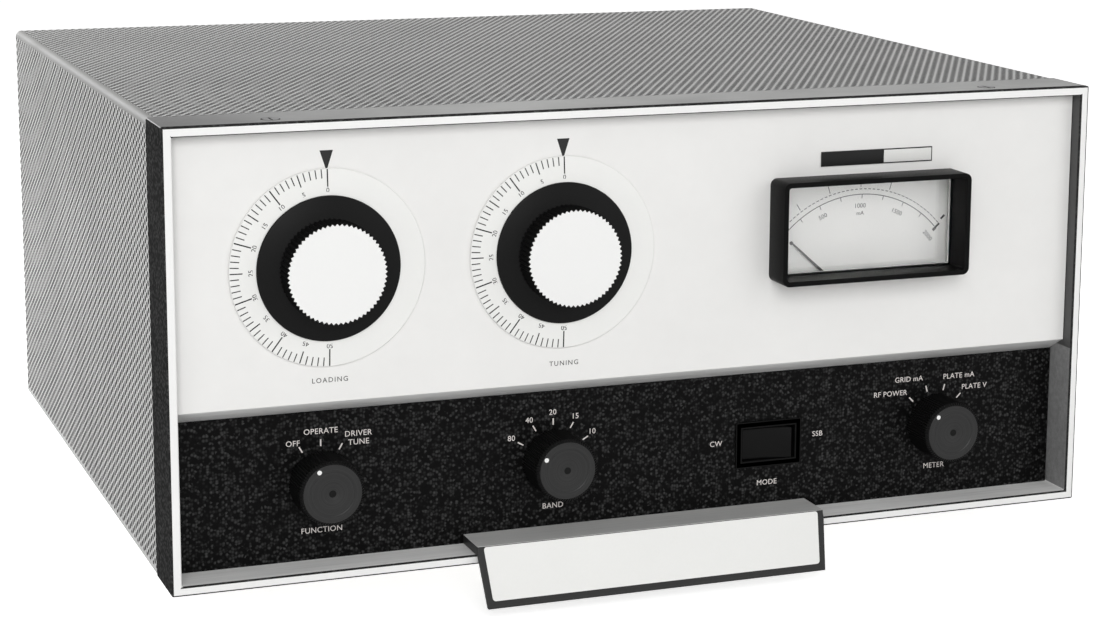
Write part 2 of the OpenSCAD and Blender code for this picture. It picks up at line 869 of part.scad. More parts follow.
// Seen from above: a paddle with two flats that meet over the pivot
module mode_rocker() {
    reach = rocker_w / 2 - 0.8;
    color("black") in_frame() translate([mode_x, rocker_pivot_y, mode_z])
        rotate([0, 0, -rocker_tilt]) union() {
            translate([0, 0, -rocker_h / 2])
                linear_extrude(height = rocker_h)
                    polygon([[-reach, -6.4], [0, -5.2], [reach, -6.4], [reach, -1],
                        [3.5, 3.6], [-3.5, 3.6], [-reach, -1]]);
            translate([0, 0, -rocker_h / 2 - 1.4])
                cylinder(r = rocker_pin_r, h = rocker_h + 2.8);
        }
}

module mode_switch() {
    w = rocker_open_w + 2 * rocker_wall;
    h = rocker_open_h + 2 * rocker_wall;
    color("dimgray") in_frame() translate([mode_x, 0, mode_z]) difference() {
        union() {
            plate_y(lower_inset - 1.2, lower_inset)
                square([w + 2 * rocker_rim, h + 2 * rocker_rim], center = true);
            plate_y(lower_inset - 0.1, lower_inset + rocker_d + 4)
                square([w, h], center = true);
            for (sx = [-1, 1])
                plate_y(lower_inset + rocker_d, lower_inset + rocker_d + 12)
                    translate([sx * 7, 0])
                        square([0.8, 5], center = true);
        }
        plate_y(lower_inset - 2, lower_inset + rocker_d)
            square([rocker_open_w, rocker_open_h], center = true);
        translate([0, rocker_pivot_y, -rocker_open_h / 2 - 1])
            cylinder(r = rocker_pin_r + run_gap, h = rocker_open_h + 2);
    }
}

// ---------------------------------------------------------------- meter

module meter_hood() {
    color("black") in_frame() translate([meter_x, 0, meter_z])
        plate_y(-hood_out, upper_inset) difference() {
            round_rect(hood_w, hood_h, hood_r);
            round_rect(hood_w - 2 * hood_t, hood_h - 2 * hood_t, hood_r - hood_t + 0.4);
        }
}

module meter_glass() {
    color("lightblue", 0.35) in_frame() translate([meter_x, 0, meter_z])
        plate_y(upper_inset - glass_t, upper_inset)
            round_rect(hood_w - 2 * hood_t - 0.2, hood_h - 2 * hood_t - 0.2, hood_r - hood_t + 0.3);
}

module meter_case() {
    color("dimgray") in_frame() difference() {
        block([meter_x - hood_w / 2, upper_back_y, case_low],
            [meter_x + hood_w / 2, case_end_y, case_high]);
        block([meter_x - hood_w / 2 + case_t, upper_back_y - cut, case_low + case_t],
            [meter_x + hood_w / 2 - case_t, case_end_y - case_t, case_high - case_t]);
    }
}

module meter_scale() {
    color("white") in_frame() difference() {
        block([meter_x - hood_w / 2 + case_t + 0.1, scale_y, case_low + case_t + 0.1],
            [meter_x + hood_w / 2 - case_t - 0.1, scale_y + scale_t, case_high - case_t - 0.1]);
        translate([meter_x, 0, pivot_z])
            rod_y(3, scale_y - cut, scale_y + scale_t + cut);
    }
}

// A ring with a bearing bar at each end, between the scale plate and the back of the case
module meter_magnet() {
    y0 = scale_y + scale_t;
    y1 = case_end_y - case_t;
    color("gray") in_frame() translate([meter_x, 0, pivot_z]) difference() {
        union() {
            difference() {
                rod_y(magnet_r, y0, y1);
                rod_y(magnet_r - 3, y0 - cut, y1 + cut);
            }
            for (y = [y0, y1 - bar_t])
                plate_y(y, y + bar_t)
                    square([2 * magnet_r - 3, 5], center = true);
        }
        rod_y(pivot_r + run_gap, y0 - cut, y1 + cut);
    }
}

// Pointer with its tail, pivot and moving coil
module meter_needle() {
    y0 = scale_y + scale_t + bar_t + 1;
    y1 = case_end_y - case_t - bar_t - 1;
    color("black") in_frame() translate([meter_x, 0, pivot_z]) rotate([0, -needle_rest, 0]) {
        union() {
            plate_y(needle_y, needle_y + needle_t)
                polygon([[-1.6, -9], [1.6, -9], [0.9, 0], [0.3, needle_l], [-0.3, needle_l], [-0.9, 0]]);
            rod_y(pivot_r, needle_y, y1 + bar_t, 48);
            plate_y(y0, y1)
                square([2 * magnet_r - 9, 3], center = true);
        }
    }
}

// ---------------------------------------------------------------- radio-frequency deck

module rf_deck() {
    color("silver") in_frame() difference() {
        union() {
            block([deck_x0, deck_y0, deck_z - sheet_t], [deck_x1, deck_y1, deck_z]);
            block([deck_x0, deck_y0, base_z], [deck_x0 + sheet_t, deck_y1, deck_z]);
            block([deck_x1 - sheet_t, deck_y0, base_z], [deck_x1, deck_y1, deck_z]);
        }
        for (x = tube_x)
            translate([x, tubes_y, deck_z - sheet_t - cut])
                cylinder(r = tube_base_r - 2, h = sheet_t + 2 * cut);
    }
}

module tube_sockets() {
    color("ivory") in_frame()
        for (x = tube_x)
            translate([x, tubes_y, deck_z]) difference() {
                cylinder(r = tube_base_r + socket_wall, h = socket_h);
                translate([0, 0, socket_floor])
                    cylinder(r = tube_base_r + 0.1, h = socket_h);
                cylinder(r = tube_base_r - 4, h = socket_h, center = true);
            }
}

// A tube's outline, as radius and height above the deck
function bulb_outline() =
    let (shoulder = 12, low = socket_floor + tube_base_h, high = tube_h - anode_h)
    concat([[0, socket_floor], [tube_base_r, socket_floor], [tube_base_r, low]],
        [for (i = [0:6]) let (a = i * 15)
            [tube_base_r + (bulb_r - tube_base_r) * sin(a), low + shoulder * (1 - cos(a))]],
        [for (i = [0:8]) let (a = i * 11.25)
            [anode_r + (bulb_r - anode_r) * cos(a), high - shoulder + shoulder * sin(a)]],
        [[anode_r, tube_h], [0, tube_h]]);

module power_tubes() {
    color("lightsteelblue") in_frame()
        for (x = tube_x)
            translate([x, tubes_y, deck_z])
                rotate_extrude()
                    polygon(bulb_outline());
}

fin_pitch = 3;
fin_out = 5;
clip_wall = 1.5;

module anode_clips() {
    z0 = deck_z + tube_h - anode_h + 0.4;
    color("gray") in_frame()
        for (x = tube_x)
            translate([x, tubes_y, z0]) difference() {
                union() {
                    cylinder(r = anode_r + clip_wall, h = anode_h + 4);
                    for (i = [0:3])
                        translate([0, 0, 1 + i * fin_pitch])
                            cylinder(r = anode_r + fin_out, h = 1);
                }
                translate([0, 0, -cut])
                    cylinder(r = anode_r + 0.1, h = anode_h + cut);
            }
}

module plate_choke() {
    color("burlywood") in_frame()
        translate([tube_x[1] + bulb_r + choke_shift, tubes_y - choke_front, deck_z]) union() {
            cylinder(r = 1.5 * choke_r, h = choke_r / 2);
            cylinder(r = choke_r, h = choke_h);
            translate([0, 0, choke_r + 2])
                cylinder(r = choke_r + 1.5, h = choke_h - 3 * choke_r);
            translate([0, 0, choke_h - 6])
                cylinder(r = choke_r + 3, h = choke_r / 2);
        }
}

// Centre of the coil's tube at step i, from the coil's middle
function coil_point(i) = let (a = i * 360 / coil_steps)
    [i * coil_pitch / coil_steps - coil_len / 2, coil_r * cos(a), coil_r * sin(a)];
function coil_radial(i) = let (a = i * 360 / coil_steps) [0, cos(a), sin(a)];
coil_leg = coil_up - coil_foot;
coil_path = concat(
    [coil_point(0) - [0, 0, coil_leg]],
    [for (i = [0:coil_total]) coil_point(i)],
    [coil_point(coil_total) - [0, 0, coil_leg]]);
coil_out = concat([coil_radial(0)], [for (i = [0:coil_total]) coil_radial(i)],
    [coil_radial(coil_total)]);
coil_last = len(coil_path) - 1;
// Least gap of the tube to itself, over rings that are more than half a turn apart
coil_clear = min([for (i = [0:coil_last], j = [i + coil_steps / 2:coil_last])
    norm(coil_path[i] - coil_path[j])]) - 2 * wire_r;

module tank_coil() {
    echo(coil_turns = coil_n + 0.5, least_gap_mm = coil_clear);
    sides = 6;
    points = [for (i = [0:coil_last], k = [0:sides - 1])
        coil_path[i] + wire_r * (cos(k * 60) * coil_out[i] + sin(k * 60) * [1, 0, 0])];
    skin = [for (i = [0:coil_last - 1], k = [0:sides - 1], half = [0, 1])
        let (a = i * sides + k, b = i * sides + (k + 1) % sides)
        half == 0 ? [a, b, b + sides] : [a, b + sides, a + sides]];
    caps = [for (k = [1:sides - 2]) each [[0, k + 1, k],
        [coil_last * sides, coil_last * sides + k, coil_last * sides + k + 1]]];
    color("goldenrod") in_frame() translate([coil_x, coil_y, coil_z])
        polyhedron(points = points, faces = concat(skin, caps));
}

module coil_feet() {
    color("ivory") in_frame()
        for (i = [0, coil_total])
            translate([coil_x + coil_point(i)[0], coil_y + coil_point(i)[1], deck_z]) {
                cylinder(r = wire_r + 4, h = coil_foot);
                cylinder(r = wire_r + 7, h = 3);
            }
}

module antenna_relay() {
    x = deck_x0 + relay_side;
    color("silver") in_frame() union() {
        block([x - relay_foot, coil_y - relay_d / 2 - relay_foot, deck_z],
            [x + relay_w + relay_foot, coil_y + relay_d / 2 + relay_foot, deck_z + 6]);
        block([x, coil_y - relay_d / 2, deck_z + 5],
            [x + relay_w, coil_y + relay_d / 2, deck_z + relay_h]);
    }
}

// ---------------------------------------------------------------- power supply

// Laminated core with two windows, drawn in X and Z
module core_outline(w, h, limb_w) {
    window = (w - 4 * limb_w) / 2;
    difference() {
        translate([-w / 2, 0])
            square([w, h]);
        for (sx = [0, 1])
            mirror([sx, 0])
                translate([limb_w, limb_w])
                    square([window, h - 2 * limb_w]);
    }
}

core_foot = 8;
core_foot_w = 20;

module transformer_core() {
    color("dimgray") in_frame() translate([core_x, 0, base_z]) union() {
        plate_y(core_y - core_d / 2, core_y + core_d / 2)
            core_outline(core_w, core_h, limb);
        for (sx = [-1, 1])
            block([sx * (core_w / 2 - limb / 3) - core_foot_w / 2, core_y - core_d / 2 - core_foot, 0],
                [sx * (core_w / 2 - limb / 3) + core_foot_w / 2, core_y + core_d / 2 + core_foot, sheet_t]);
    }
}

winding_gap = 0.5;

module transformer_winding() {
    w = core_w - 2 * limb - 2 * winding_gap;
    h = core_h - 2 * limb - 2 * winding_gap;
    y0 = core_y - core_d / 2;
    y1 = core_y + core_d / 2;
    color("khaki") in_frame() translate([core_x, 0, base_z + core_h / 2]) difference() {
        plate_y(y0 - winding_out, y1 + winding_out)
            round_rect(w, h, 3);
        plate_y(y0 - winding_gap, y1 + winding_gap)
            square([2 * limb + 2 * winding_gap, h + 2 * cut], center = true);
    }
}

// Width of the filament transformer's limbs, and how far its winding stands out
fil_limb = 11;
fil_out = 8;

module filament_transformer() {
    color("gray") in_frame() translate([core_x, fil_y, base_z]) union() {
        block([-fil_w / 2, -fil_d / 2 + fil_out, 0], [fil_w / 2, fil_d / 2 - fil_out, fil_h]);
        block([fil_limb - fil_w / 2, -fil_d / 2, fil_limb],
            [fil_w / 2 - fil_limb, fil_d / 2, fil_h - fil_limb]);
        block([-fil_w / 2 - fil_foot, -fil_foot, 0], [fil_w / 2 + fil_foot, fil_foot, 1.6]);
    }
}

can_xy = [for (i = [-1.5:1:1.5], j = [0, 1])
    [board_x + i * can_pitch, board_y0 + board_edge + (j + 0.5) * can_pitch]];

module filter_capacitors() {
    color("steelblue") in_frame()
        for (p = can_xy)
            translate([p[0], p[1], can_z])
                difference() {
                    cylinder(r = can_r, h = can_h);
                    translate([0, 0, can_h - 1])
                        difference() {
                            cylinder(r = can_r - 1.5, h = 1 + cut);
                            cylinder(r = can_r - 4, h = 1 + cut);
                        }
                }
}

diode_pitch = 9;

module rectifier_board() {
    color("darkgreen") in_frame() union() {
        block([board_x - board_half, board_y0, board_z],
            [board_x + board_half, board_y0 + board_len, can_z]);
        for (sx = [-1, 1], y = [board_y0 + 4, board_y0 + board_len - 4])
            translate([board_x + sx * (board_half - 4), y, base_z])
                cylinder(r = 3, h = board_up + 0.5);
        for (i = [-7:7])
            translate([board_x + i * diode_pitch, board_y0 + board_len - 4, can_z - 0.2])
                cylinder(r = 2.4, h = 7);
    }
}

// ---------------------------------------------------------------- cooling fan

fan_shaft_r = 2.5;
hub_t = 7;
arm_w = 6;
wheel_y0 = fan_y + 3;
wheel_y1 = fan_y + fan_d - hub_t - 1;
blade_t = 1.8;
blade_w = 28;
blade_turn = 52;

module fan_frame() {
    color("dimgray") in_frame() translate([fan_x, 0, fan_z]) difference() {
        union() {
            difference() {
                plate_y(fan_y, fan_y + fan_d)
                    round_rect(fan_w, fan_w, 6);
                rod_y(duct_r, fan_y - cut, fan_y + fan_d + cut, 128);
            }
            rod_y(hub_r, fan_y + fan_d - hub_t, fan_y + fan_d);
            for (i = [0:3])
                rotate([0, 45 + i * 90, 0])
                    block([hub_r - 1, fan_y + fan_d - arm_w, -arm_w / 2],
                        [duct_r + 3, fan_y + fan_d, arm_w / 2]);
        }
        rod_y(fan_shaft_r + run_gap, fan_y - cut, fan_y + fan_d - 1);
        for (sx = [-1, 1], sz = [-1, 1])
            translate([sx * (fan_w / 2 - fan_hole), 0, sz * (fan_w / 2 - fan_hole)])
                rod_y(screw_r + 0.1, fan_y - cut, fan_y + fan_d + cut);
    }
}

module fan_wheel() {
    color("gray") in_frame() translate([fan_x, 0, fan_z]) union() {
        rod_y(hub_r - 1, wheel_y0, wheel_y1);
        rod_y(fan_shaft_r, wheel_y0 + 1, fan_y + fan_d - 2);
        intersection() {
            rod_y(duct_r - blade_gap, wheel_y0 + 0.5, wheel_y1 - 0.5, 128);
            for (i = [0:blades - 1])
                rotate([0, i * 360 / blades, 0])
                    translate([hub_r - 3, (wheel_y0 + wheel_y1) / 2, 0])
                        rotate([blade_turn, 0, 0])
                            translate([0, -blade_t / 2, -blade_w / 2])
                                cube([duct_r, blade_t, blade_w]);
        }
    }
}

guard_r = 12;
guard_pitch = 8;
wire = 2.4;

// Rings on four arms, with an eye at each corner
module fan_guard() {
    color("silver") in_frame() translate([fan_x, 0, fan_z]) difference() {
        union() {
            for (i = [0:3])
                plate_y(rear_y, rear_y + wire) difference() {
                    circle(r = guard_r + i * guard_pitch + wire / 2);
                    circle(r = guard_r + i * guard_pitch - wire / 2);
                }
            for (i = [0:3])
                plate_y(rear_y, rear_y + wire)
                    rotate(45 + i * 90)
                        translate([guard_r - 1.5, -wire / 2])
                            square([eye_at() - guard_r, wire]);
            for (sx = [-1, 1], sz = [-1, 1])
                translate([sx * (fan_w / 2 - fan_hole), 0, sz * (fan_w / 2 - fan_hole)])
                    rod_y(4, rear_y, rear_y + wire);
        }
        for (sx = [-1, 1], sz = [-1, 1])
            translate([sx * (fan_w / 2 - fan_hole), 0, sz * (fan_w / 2 - fan_hole)])
                rod_y(screw_r + 0.1, rear_y - cut, rear_y + wire + cut);
    }
}

// Distance of a fan screw from the fan's axis
function eye_at() = (fan_w / 2 - fan_hole) * sqrt(2);

// ---------------------------------------------------------------- rear panel and its fittings

coax_r = 7.9;
coax_flange = 25.4;
coax_flange_t = 2.5;
coax_hole = 9.1;
coax_nose = 14;
coax_tail = 18;
fuse_r = 6.2;
fuse_tail = 28;
fuse_nose = 14;
fuse_collar = 3;
stud_r = 2.9;
stud_out = 16;
stud_in = 10;
gland_r = 8;
gland_in = 8;
gland_bore = 4;

module rear_panel() {
    color("darkgray") in_frame() difference() {
        plate_y(rear_in_y, rear_y)
            cover_outline(cover_t + sheet_gap, bend_r - cover_t, cover_t);
        translate([fan_x, 0, fan_z])
            rod_y(duct_r - 1, rear_in_y - cut, rear_y + cut, 128);
        for (sx = [-1, 1], sz = [-1, 1])
            translate([fan_x + sx * (fan_w / 2 - fan_hole), 0, fan_z + sz * (fan_w / 2 - fan_hole)])
                rod_y(screw_r + 0.1, rear_in_y - cut, rear_y + cut);
        for (x = coax_x)
            translate([x, 0, coax_z])
                rod_y(coax_r + 0.1, rear_in_y - cut, rear_y + cut);
        for (x = fuse_x)
            translate([x, 0, fuse_z])
                rod_y(fuse_r + 0.1, rear_in_y - cut, rear_y + cut);
        translate([ground_x, 0, coax_z])
            rod_y(stud_r + 0.1, rear_in_y - cut, rear_y + cut);
        translate([gland_x, 0, fuse_z])
            rod_y(gland_r + 0.1, rear_in_y - cut, rear_y + cut);
    }
}

// Two coaxial sockets with square flanges
module coax_sockets() {
    color("silver") in_frame()
        for (x = coax_x)
            translate([x, 0, coax_z]) difference() {
                union() {
                    plate_y(rear_y, rear_y + coax_flange_t)
                        round_rect(coax_flange, coax_flange, 2);
                    rod_y(coax_r, rear_in_y - coax_tail + coax_r, rear_y + coax_nose);
                    rod_y(coax_r / 4, rear_in_y - coax_tail, rear_y);
                }
                difference() {
                    rod_y(coax_r - 1.6, rear_y + 4, rear_y + coax_nose + cut);
                    rod_y(3, rear_y, rear_y + coax_nose - 2);
                }
                rod_y(2, rear_y + 4, rear_y + coax_nose + cut);
                for (sx = [-1, 1], sz = [-1, 1])
                    translate([sx * coax_hole, 0, sz * coax_hole])
                        rod_y(1.5, rear_y - cut, rear_y + coax_flange_t + cut, 24);
            }
}

module fuse_holders() {
    color("black") in_frame()
        for (x = fuse_x)
            translate([x, 0, fuse_z]) union() {
                rod_y(fuse_r, rear_in_y - fuse_tail, rear_y + 1);
                rod_y(fuse_r + 2.4, rear_y, rear_y + fuse_collar);
                plate_y(rear_y + fuse_collar - 0.5, rear_y + fuse_nose)
                    ridged(fuse_r + 0.8, 24, 0.5);
            }
}

module ground_post() {
    color("goldenrod") in_frame() translate([ground_x, 0, coax_z]) union() {
        rod_y(stud_r, rear_in_y - stud_in, rear_y + stud_out);
        plate_y(rear_y, rear_y + 4)
            circle(r = 5.5, $fn = 6);
        plate_y(rear_y + 6, rear_y + stud_out - 3)
            ridged(2 * stud_r + 0.2, 24, 0.5);
    }
}

// The gland that the mains lead comes out of
module cord_gland() {
    color("black") in_frame() translate([gland_x, 0, fuse_z]) difference() {
        union() {
            rod_y(gland_r, rear_in_y - gland_in, rear_y + 1);
            rod_y(gland_r + 3, rear_y, rear_y + 3);
            rod_y(gland_r - 0.5, rear_y + 2, rear_y + gland_l);
        }
        rod_y(gland_bore, rear_in_y - gland_in - cut, rear_y + gland_l + cut);
    }
}

// ---------------------------------------------------------------- the nodes

bezel();
cover();
chassis_base();
rear_panel();
feet();
case_screws();
sub_panel();
upper_panel();
lower_panel();
trim_strip();
panel_posts();
badge();
nameplate();
loading_dial();
loading_knob();
loading_rotor();
loading_stator();
loading_frame();
tuning_dial();
tuning_knob();
tuning_rotor();
tuning_stator();
tuning_frame();
function_knob();
function_rotor();
function_switch();
band_knob();
band_rotor();
band_switch();
selector_knob();
selector_rotor();
selector_switch();
mode_rocker();
mode_switch();
meter_hood();
meter_glass();
meter_scale();
meter_needle();
meter_case();
meter_magnet();
rf_deck();
tube_sockets();
power_tubes();
anode_clips();
plate_choke();
tank_coil();
coil_feet();
antenna_relay();
transformer_core();
transformer_winding();
filament_transformer();
filter_capacitors();
rectifier_board();
fan_frame();
fan_wheel();
fan_guard();
coax_sockets();
fuse_holders();
ground_post();
cord_gland();
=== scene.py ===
"""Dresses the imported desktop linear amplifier.

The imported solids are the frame. The inner ones keep their shapes and get a finish each; the pieces
that show from outside are modelled anew over them: the bezel, the perforated cover, the dials and
knobs, the meter, the printed legends, the nameplate and the fittings at the rear.

Sizes are millimetres in the cabinet's own frame: X to the right, Y back from the front lip of the
bezel, Z up from the cabinet's underside. `at` turns them into metres in the part's frame. Angles
are degrees, and a place on an upright face is its X and Z.
"""

import sys

import json
import logging
import math
from contextlib import contextmanager
from dataclasses import dataclass
from enum import Enum
from typing import Callable, Iterator, Sequence

import bmesh
import bpy
from mathutils import Euler, Matrix, Vector


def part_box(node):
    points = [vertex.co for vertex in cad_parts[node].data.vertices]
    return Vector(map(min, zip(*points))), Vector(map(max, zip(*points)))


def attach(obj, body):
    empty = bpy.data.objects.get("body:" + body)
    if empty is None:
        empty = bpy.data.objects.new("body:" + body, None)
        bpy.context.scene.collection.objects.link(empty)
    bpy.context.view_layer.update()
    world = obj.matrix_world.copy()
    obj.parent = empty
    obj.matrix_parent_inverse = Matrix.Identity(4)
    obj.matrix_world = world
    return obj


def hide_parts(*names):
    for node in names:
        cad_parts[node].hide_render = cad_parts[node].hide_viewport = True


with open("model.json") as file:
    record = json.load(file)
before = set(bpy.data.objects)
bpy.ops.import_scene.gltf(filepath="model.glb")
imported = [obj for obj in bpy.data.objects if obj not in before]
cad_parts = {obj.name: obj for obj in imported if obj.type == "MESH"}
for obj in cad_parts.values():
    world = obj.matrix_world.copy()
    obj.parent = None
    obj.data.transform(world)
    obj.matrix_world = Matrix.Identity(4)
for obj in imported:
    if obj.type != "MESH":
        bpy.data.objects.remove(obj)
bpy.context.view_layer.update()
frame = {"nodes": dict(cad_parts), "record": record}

log = logging.getLogger("amplifier")

MM = 0.001
WHITE = (1.0, 1.0, 1.0, 1.0)
Point = tuple[float, float, float]
Spot = tuple[float, float]
Colour = tuple[float, float, float]
Piece = bpy.types.Object
Socket = bpy.types.NodeSocket
Test = Callable[[Vector, Vector], int]

# Faces that several pieces lie on: of the light panel, the black panel and the rear panel
LIGHT_Y, BLACK_Y, REAR_Y = 6.5, 17.0, 352.0


def _origin() -> Vector:
    """Returns the middle of the bezel's lower front edge, in metres."""
    low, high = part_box("bezel")
    return Vector(((low.x + high.x) / 2, low.y, low.z))


ORIGIN = _origin()


def at(x: float, y: float, z: float) -> Vector:
    """Turns a place in the cabinet's frame into metres in the part's frame."""
    return ORIGIN + Vector((x, y, z)) * MM


def home(place: Vector) -> Vector:
    """Turns a place in the part's frame into the cabinet's frame."""
    return (place - ORIGIN) / MM


class Body(Enum):
    """The bodies that a piece can ride on."""

    CABINET = "cabinet"
    LOADING = "loading"
    TUNING = "tuning"
    FUNCTION = "function"
    BAND = "band"
    SELECTOR = "selector"
    ROCKER = "rocker"
    NEEDLE = "needle"
    FAN = "fan"


class Axis(Enum):
    """The direction in which a turned form grows, as a rotation from the Z axis."""

    UP = (0.0, 0.0, 0.0)
    DOWN = (math.pi, 0.0, 0.0)
    BACK = (-math.pi / 2, 0.0, 0.0)
    FRONT = (math.pi / 2, 0.0, 0.0)


# ------------------------------------------------------------------ shared shader groups


@dataclass
class Wiring:
    """A short hand for adding and joining the nodes of one tree."""

    tree: bpy.types.NodeTree

    def feed(self, node: bpy.types.Node, inputs: dict) -> None:
        """Fills a node's inputs.

        Args:
            node: The node.
            inputs: Socket name or number to a value, or to another node's output.
        """
        for key, value in inputs.items():
            if isinstance(value, Socket):
                self.tree.links.new(value, node.inputs[key])
            else:
                node.inputs[key].default_value = value

    def add(self, kind: str, inputs: dict | None = None, **settings: object) -> bpy.types.Node:
        """Adds a node.

        Args:
            kind: The node's type name.
            inputs: What `feed` takes.
            settings: Properties of the node.

        Returns:
            The new node.
        """
        node = self.tree.nodes.new(kind)
        for key, value in settings.items():
            setattr(node, key, value)
        self.feed(node, inputs or {})
        return node

    def math(self, operation: str, *values: object, clamp: bool = False) -> Socket:
        """Does one sum with numbers or sockets, and keeps it within 0 and 1 if asked."""
        inputs = dict(enumerate(values))
        return self.add("ShaderNodeMath", inputs, operation=operation, use_clamp=clamp).outputs[0]

    def times(self, first: object, second: object) -> Socket:
        """Multiplies two values."""
        return self.math("MULTIPLY", first, second)

    def blend(self, first: Socket, second: Socket, share: float) -> Socket:
        """Adds two patterns, of which the first has the given share."""
        return self.math("ADD", self.times(first, share), self.times(second, 1.0 - share))

    def scaled(self, vector: Socket, factor: object) -> Socket:
        """Multiplies a vector or a colour by another one, or by a number."""
        inputs = {0: vector, 1: factor}
        return self.add("ShaderNodeVectorMath", inputs, operation="MULTIPLY").outputs[0]

    def mix(self, share: object, first: object, second: object) -> Socket:
        """Mixes two colours, of which the second has the given share."""
        inputs = {0: share, 6: first, 7: second}
        return self.add("ShaderNodeMix", inputs, data_type="RGBA").outputs[2]

    def ramp(self, value: Socket, low: float, high: float, to_low: object = 0.0,
             to_high: object = 1.0) -> Socket:
        """Maps the values from `low` to `high` onto `to_low` to `to_high`, and no further."""
        inputs = {0: value, 1: low, 2: high, 3: to_low, 4: to_high}
        return self.add("ShaderNodeMapRange", inputs, clamp=True).outputs[0]

    def noise(self, vector: Socket, scale: object, detail: float = 3.0, rough: float = 0.55) -> Socket:
        """Adds a noise texture.

        Args:
            vector: Where it is read.
            scale: Its scale, a number or a socket.
            detail: Its number of octaves.
            rough: Weight of the finer octaves.

        Returns:
            The noise value.
        """
        inputs = {"Vector": vector, "Scale": scale, "Detail": detail, "Roughness": rough}
        return self.add("ShaderNodeTexNoise", inputs).outputs[0]


class Effect(Enum):
    """The surface effects that finishes share, each one shader group with named sockets."""

    GRAIN = "Fine grain"
    BRUSHED = "Brushed lines"
    CRACKLE = "Crackle enamel"
    TURNED = "Turning marks"
    LAYERS = "Stacked layers"

    def group(self) -> bpy.types.NodeTree:
        """Returns the effect's group, and builds it the first time."""
        return bpy.data.node_groups.get(self.value) or self._build()

    def _build(self) -> bpy.types.NodeTree:
        """Makes the group: a pattern of 0 to 1, then colour, roughness and height from it.

        Returns:
            The finished group.
        """
        tree = bpy.data.node_groups.new(self.value, "ShaderNodeTree")
        for name, kind, value in GROUP_INPUTS:
            socket = tree.interface.new_socket(name, in_out="INPUT", socket_type=kind)
            socket.default_value = value
        for name, kind in (("Colour", "Color"), ("Roughness", "Float"), ("Height", "Float")):
            tree.interface.new_socket(name, in_out="OUTPUT", socket_type="NodeSocket" + kind)
        wire = Wiring(tree)
        given = wire.add("NodeGroupInput").outputs
        vector = given["Vector"]
        pattern, mark = self._pattern(wire, vector, given["Scale"])
        soil = wire.times(wire.ramp(wire.noise(vector, 14.0, 4.0, 0.6), 0.38, 0.72), given["Soil"])
        clean = wire.math("SUBTRACT", 1.0, wire.times(soil, 0.45))
        shift = wire.times(wire.math("SUBTRACT", pattern, 0.5), given["Tone"])
        colour = wire.scaled(given["Colour"], wire.math("ADD", clean, shift))
        rough = wire.ramp(pattern, 0.25, 0.75, given["Rough Low"], given["Rough High"])
        rough = wire.math("ADD", rough, wire.times(soil, 0.25), clamp=True)
        wire.add("NodeGroupOutput", {"Colour": wire.mix(mark, colour, given["Mark Colour"]),
                                     "Roughness": rough, "Height": pattern})
        return tree

    def _pattern(self, wire: Wiring, vector: Socket, scale: Socket) -> tuple[Socket, object]:
        """Makes the effect's pattern.

        Args:
            wire: The group's wiring.
            vector: Where the pattern is read.
            scale: The pattern's scale.

        Returns:
            The pattern, 0 to 1, and the mask of its marks.
        """
        if self is Effect.BRUSHED:
            stretch = wire.scaled(vector, (0.03, 1.0, 1.0))
            lines = wire.noise(stretch, scale, 2.0, 0.7)
            return wire.blend(lines, wire.noise(stretch, wire.times(scale, 0.12), 2.0), 0.7), 0.0
        if self is Effect.CRACKLE:
            cells = wire.add("ShaderNodeTexVoronoi", {"Vector": vector, "Scale": scale}).outputs
            chance = wire.add("ShaderNodeSeparateColor", {0: cells["Color"]}).outputs[0]
            soft = wire.ramp(cells["Distance"], 0.1, 0.75, 1.0, 0.0)
            fine = wire.noise(vector, wire.times(scale, 1.6), 3.0, 0.7)
            speck = wire.times(wire.ramp(chance, 0.35, 1.0), soft)
            return wire.blend(speck, fine, 0.6), speck
        if self is Effect.TURNED:
            radius = wire.add("ShaderNodeVectorMath", {0: vector}, operation="LENGTH").outputs[1]
            outward = wire.add("ShaderNodeCombineXYZ", {0: radius}).outputs[0]
            return wire.noise(outward, scale, 3.0, 0.8), 0.0
        if self is Effect.LAYERS:
            height = wire.add("ShaderNodeSeparateXYZ", {0: vector}).outputs[2]
            wave = wire.math("SINE", wire.times(height, scale))
            wave = wire.math("ADD", wire.times(wave, 0.5), 0.5)
            return wire.blend(wave, wire.noise(vector, 260.0, 3.0), 0.7), 0.0
        return wire.noise(vector, scale, 4.0, 0.65), 0.0


GROUP_INPUTS: tuple[tuple[str, str, object], ...] = (
    ("Vector", "NodeSocketVector", (0.0, 0.0, 0.0)),
    ("Scale", "NodeSocketFloat", 900.0),
    ("Tone", "NodeSocketFloat", 0.1),
    ("Rough Low", "NodeSocketFloat", 0.3),
    ("Rough High", "NodeSocketFloat", 0.5),
    ("Colour", "NodeSocketColor", (0.5, 0.5, 0.5, 1.0)),
    ("Mark Colour", "NodeSocketColor", (0.5, 0.5, 0.5, 1.0)),
    ("Soil", "NodeSocketFloat", 0.2),
)


def grey(level: float) -> Colour:
    """Returns a neutral colour."""
    return level, level, level


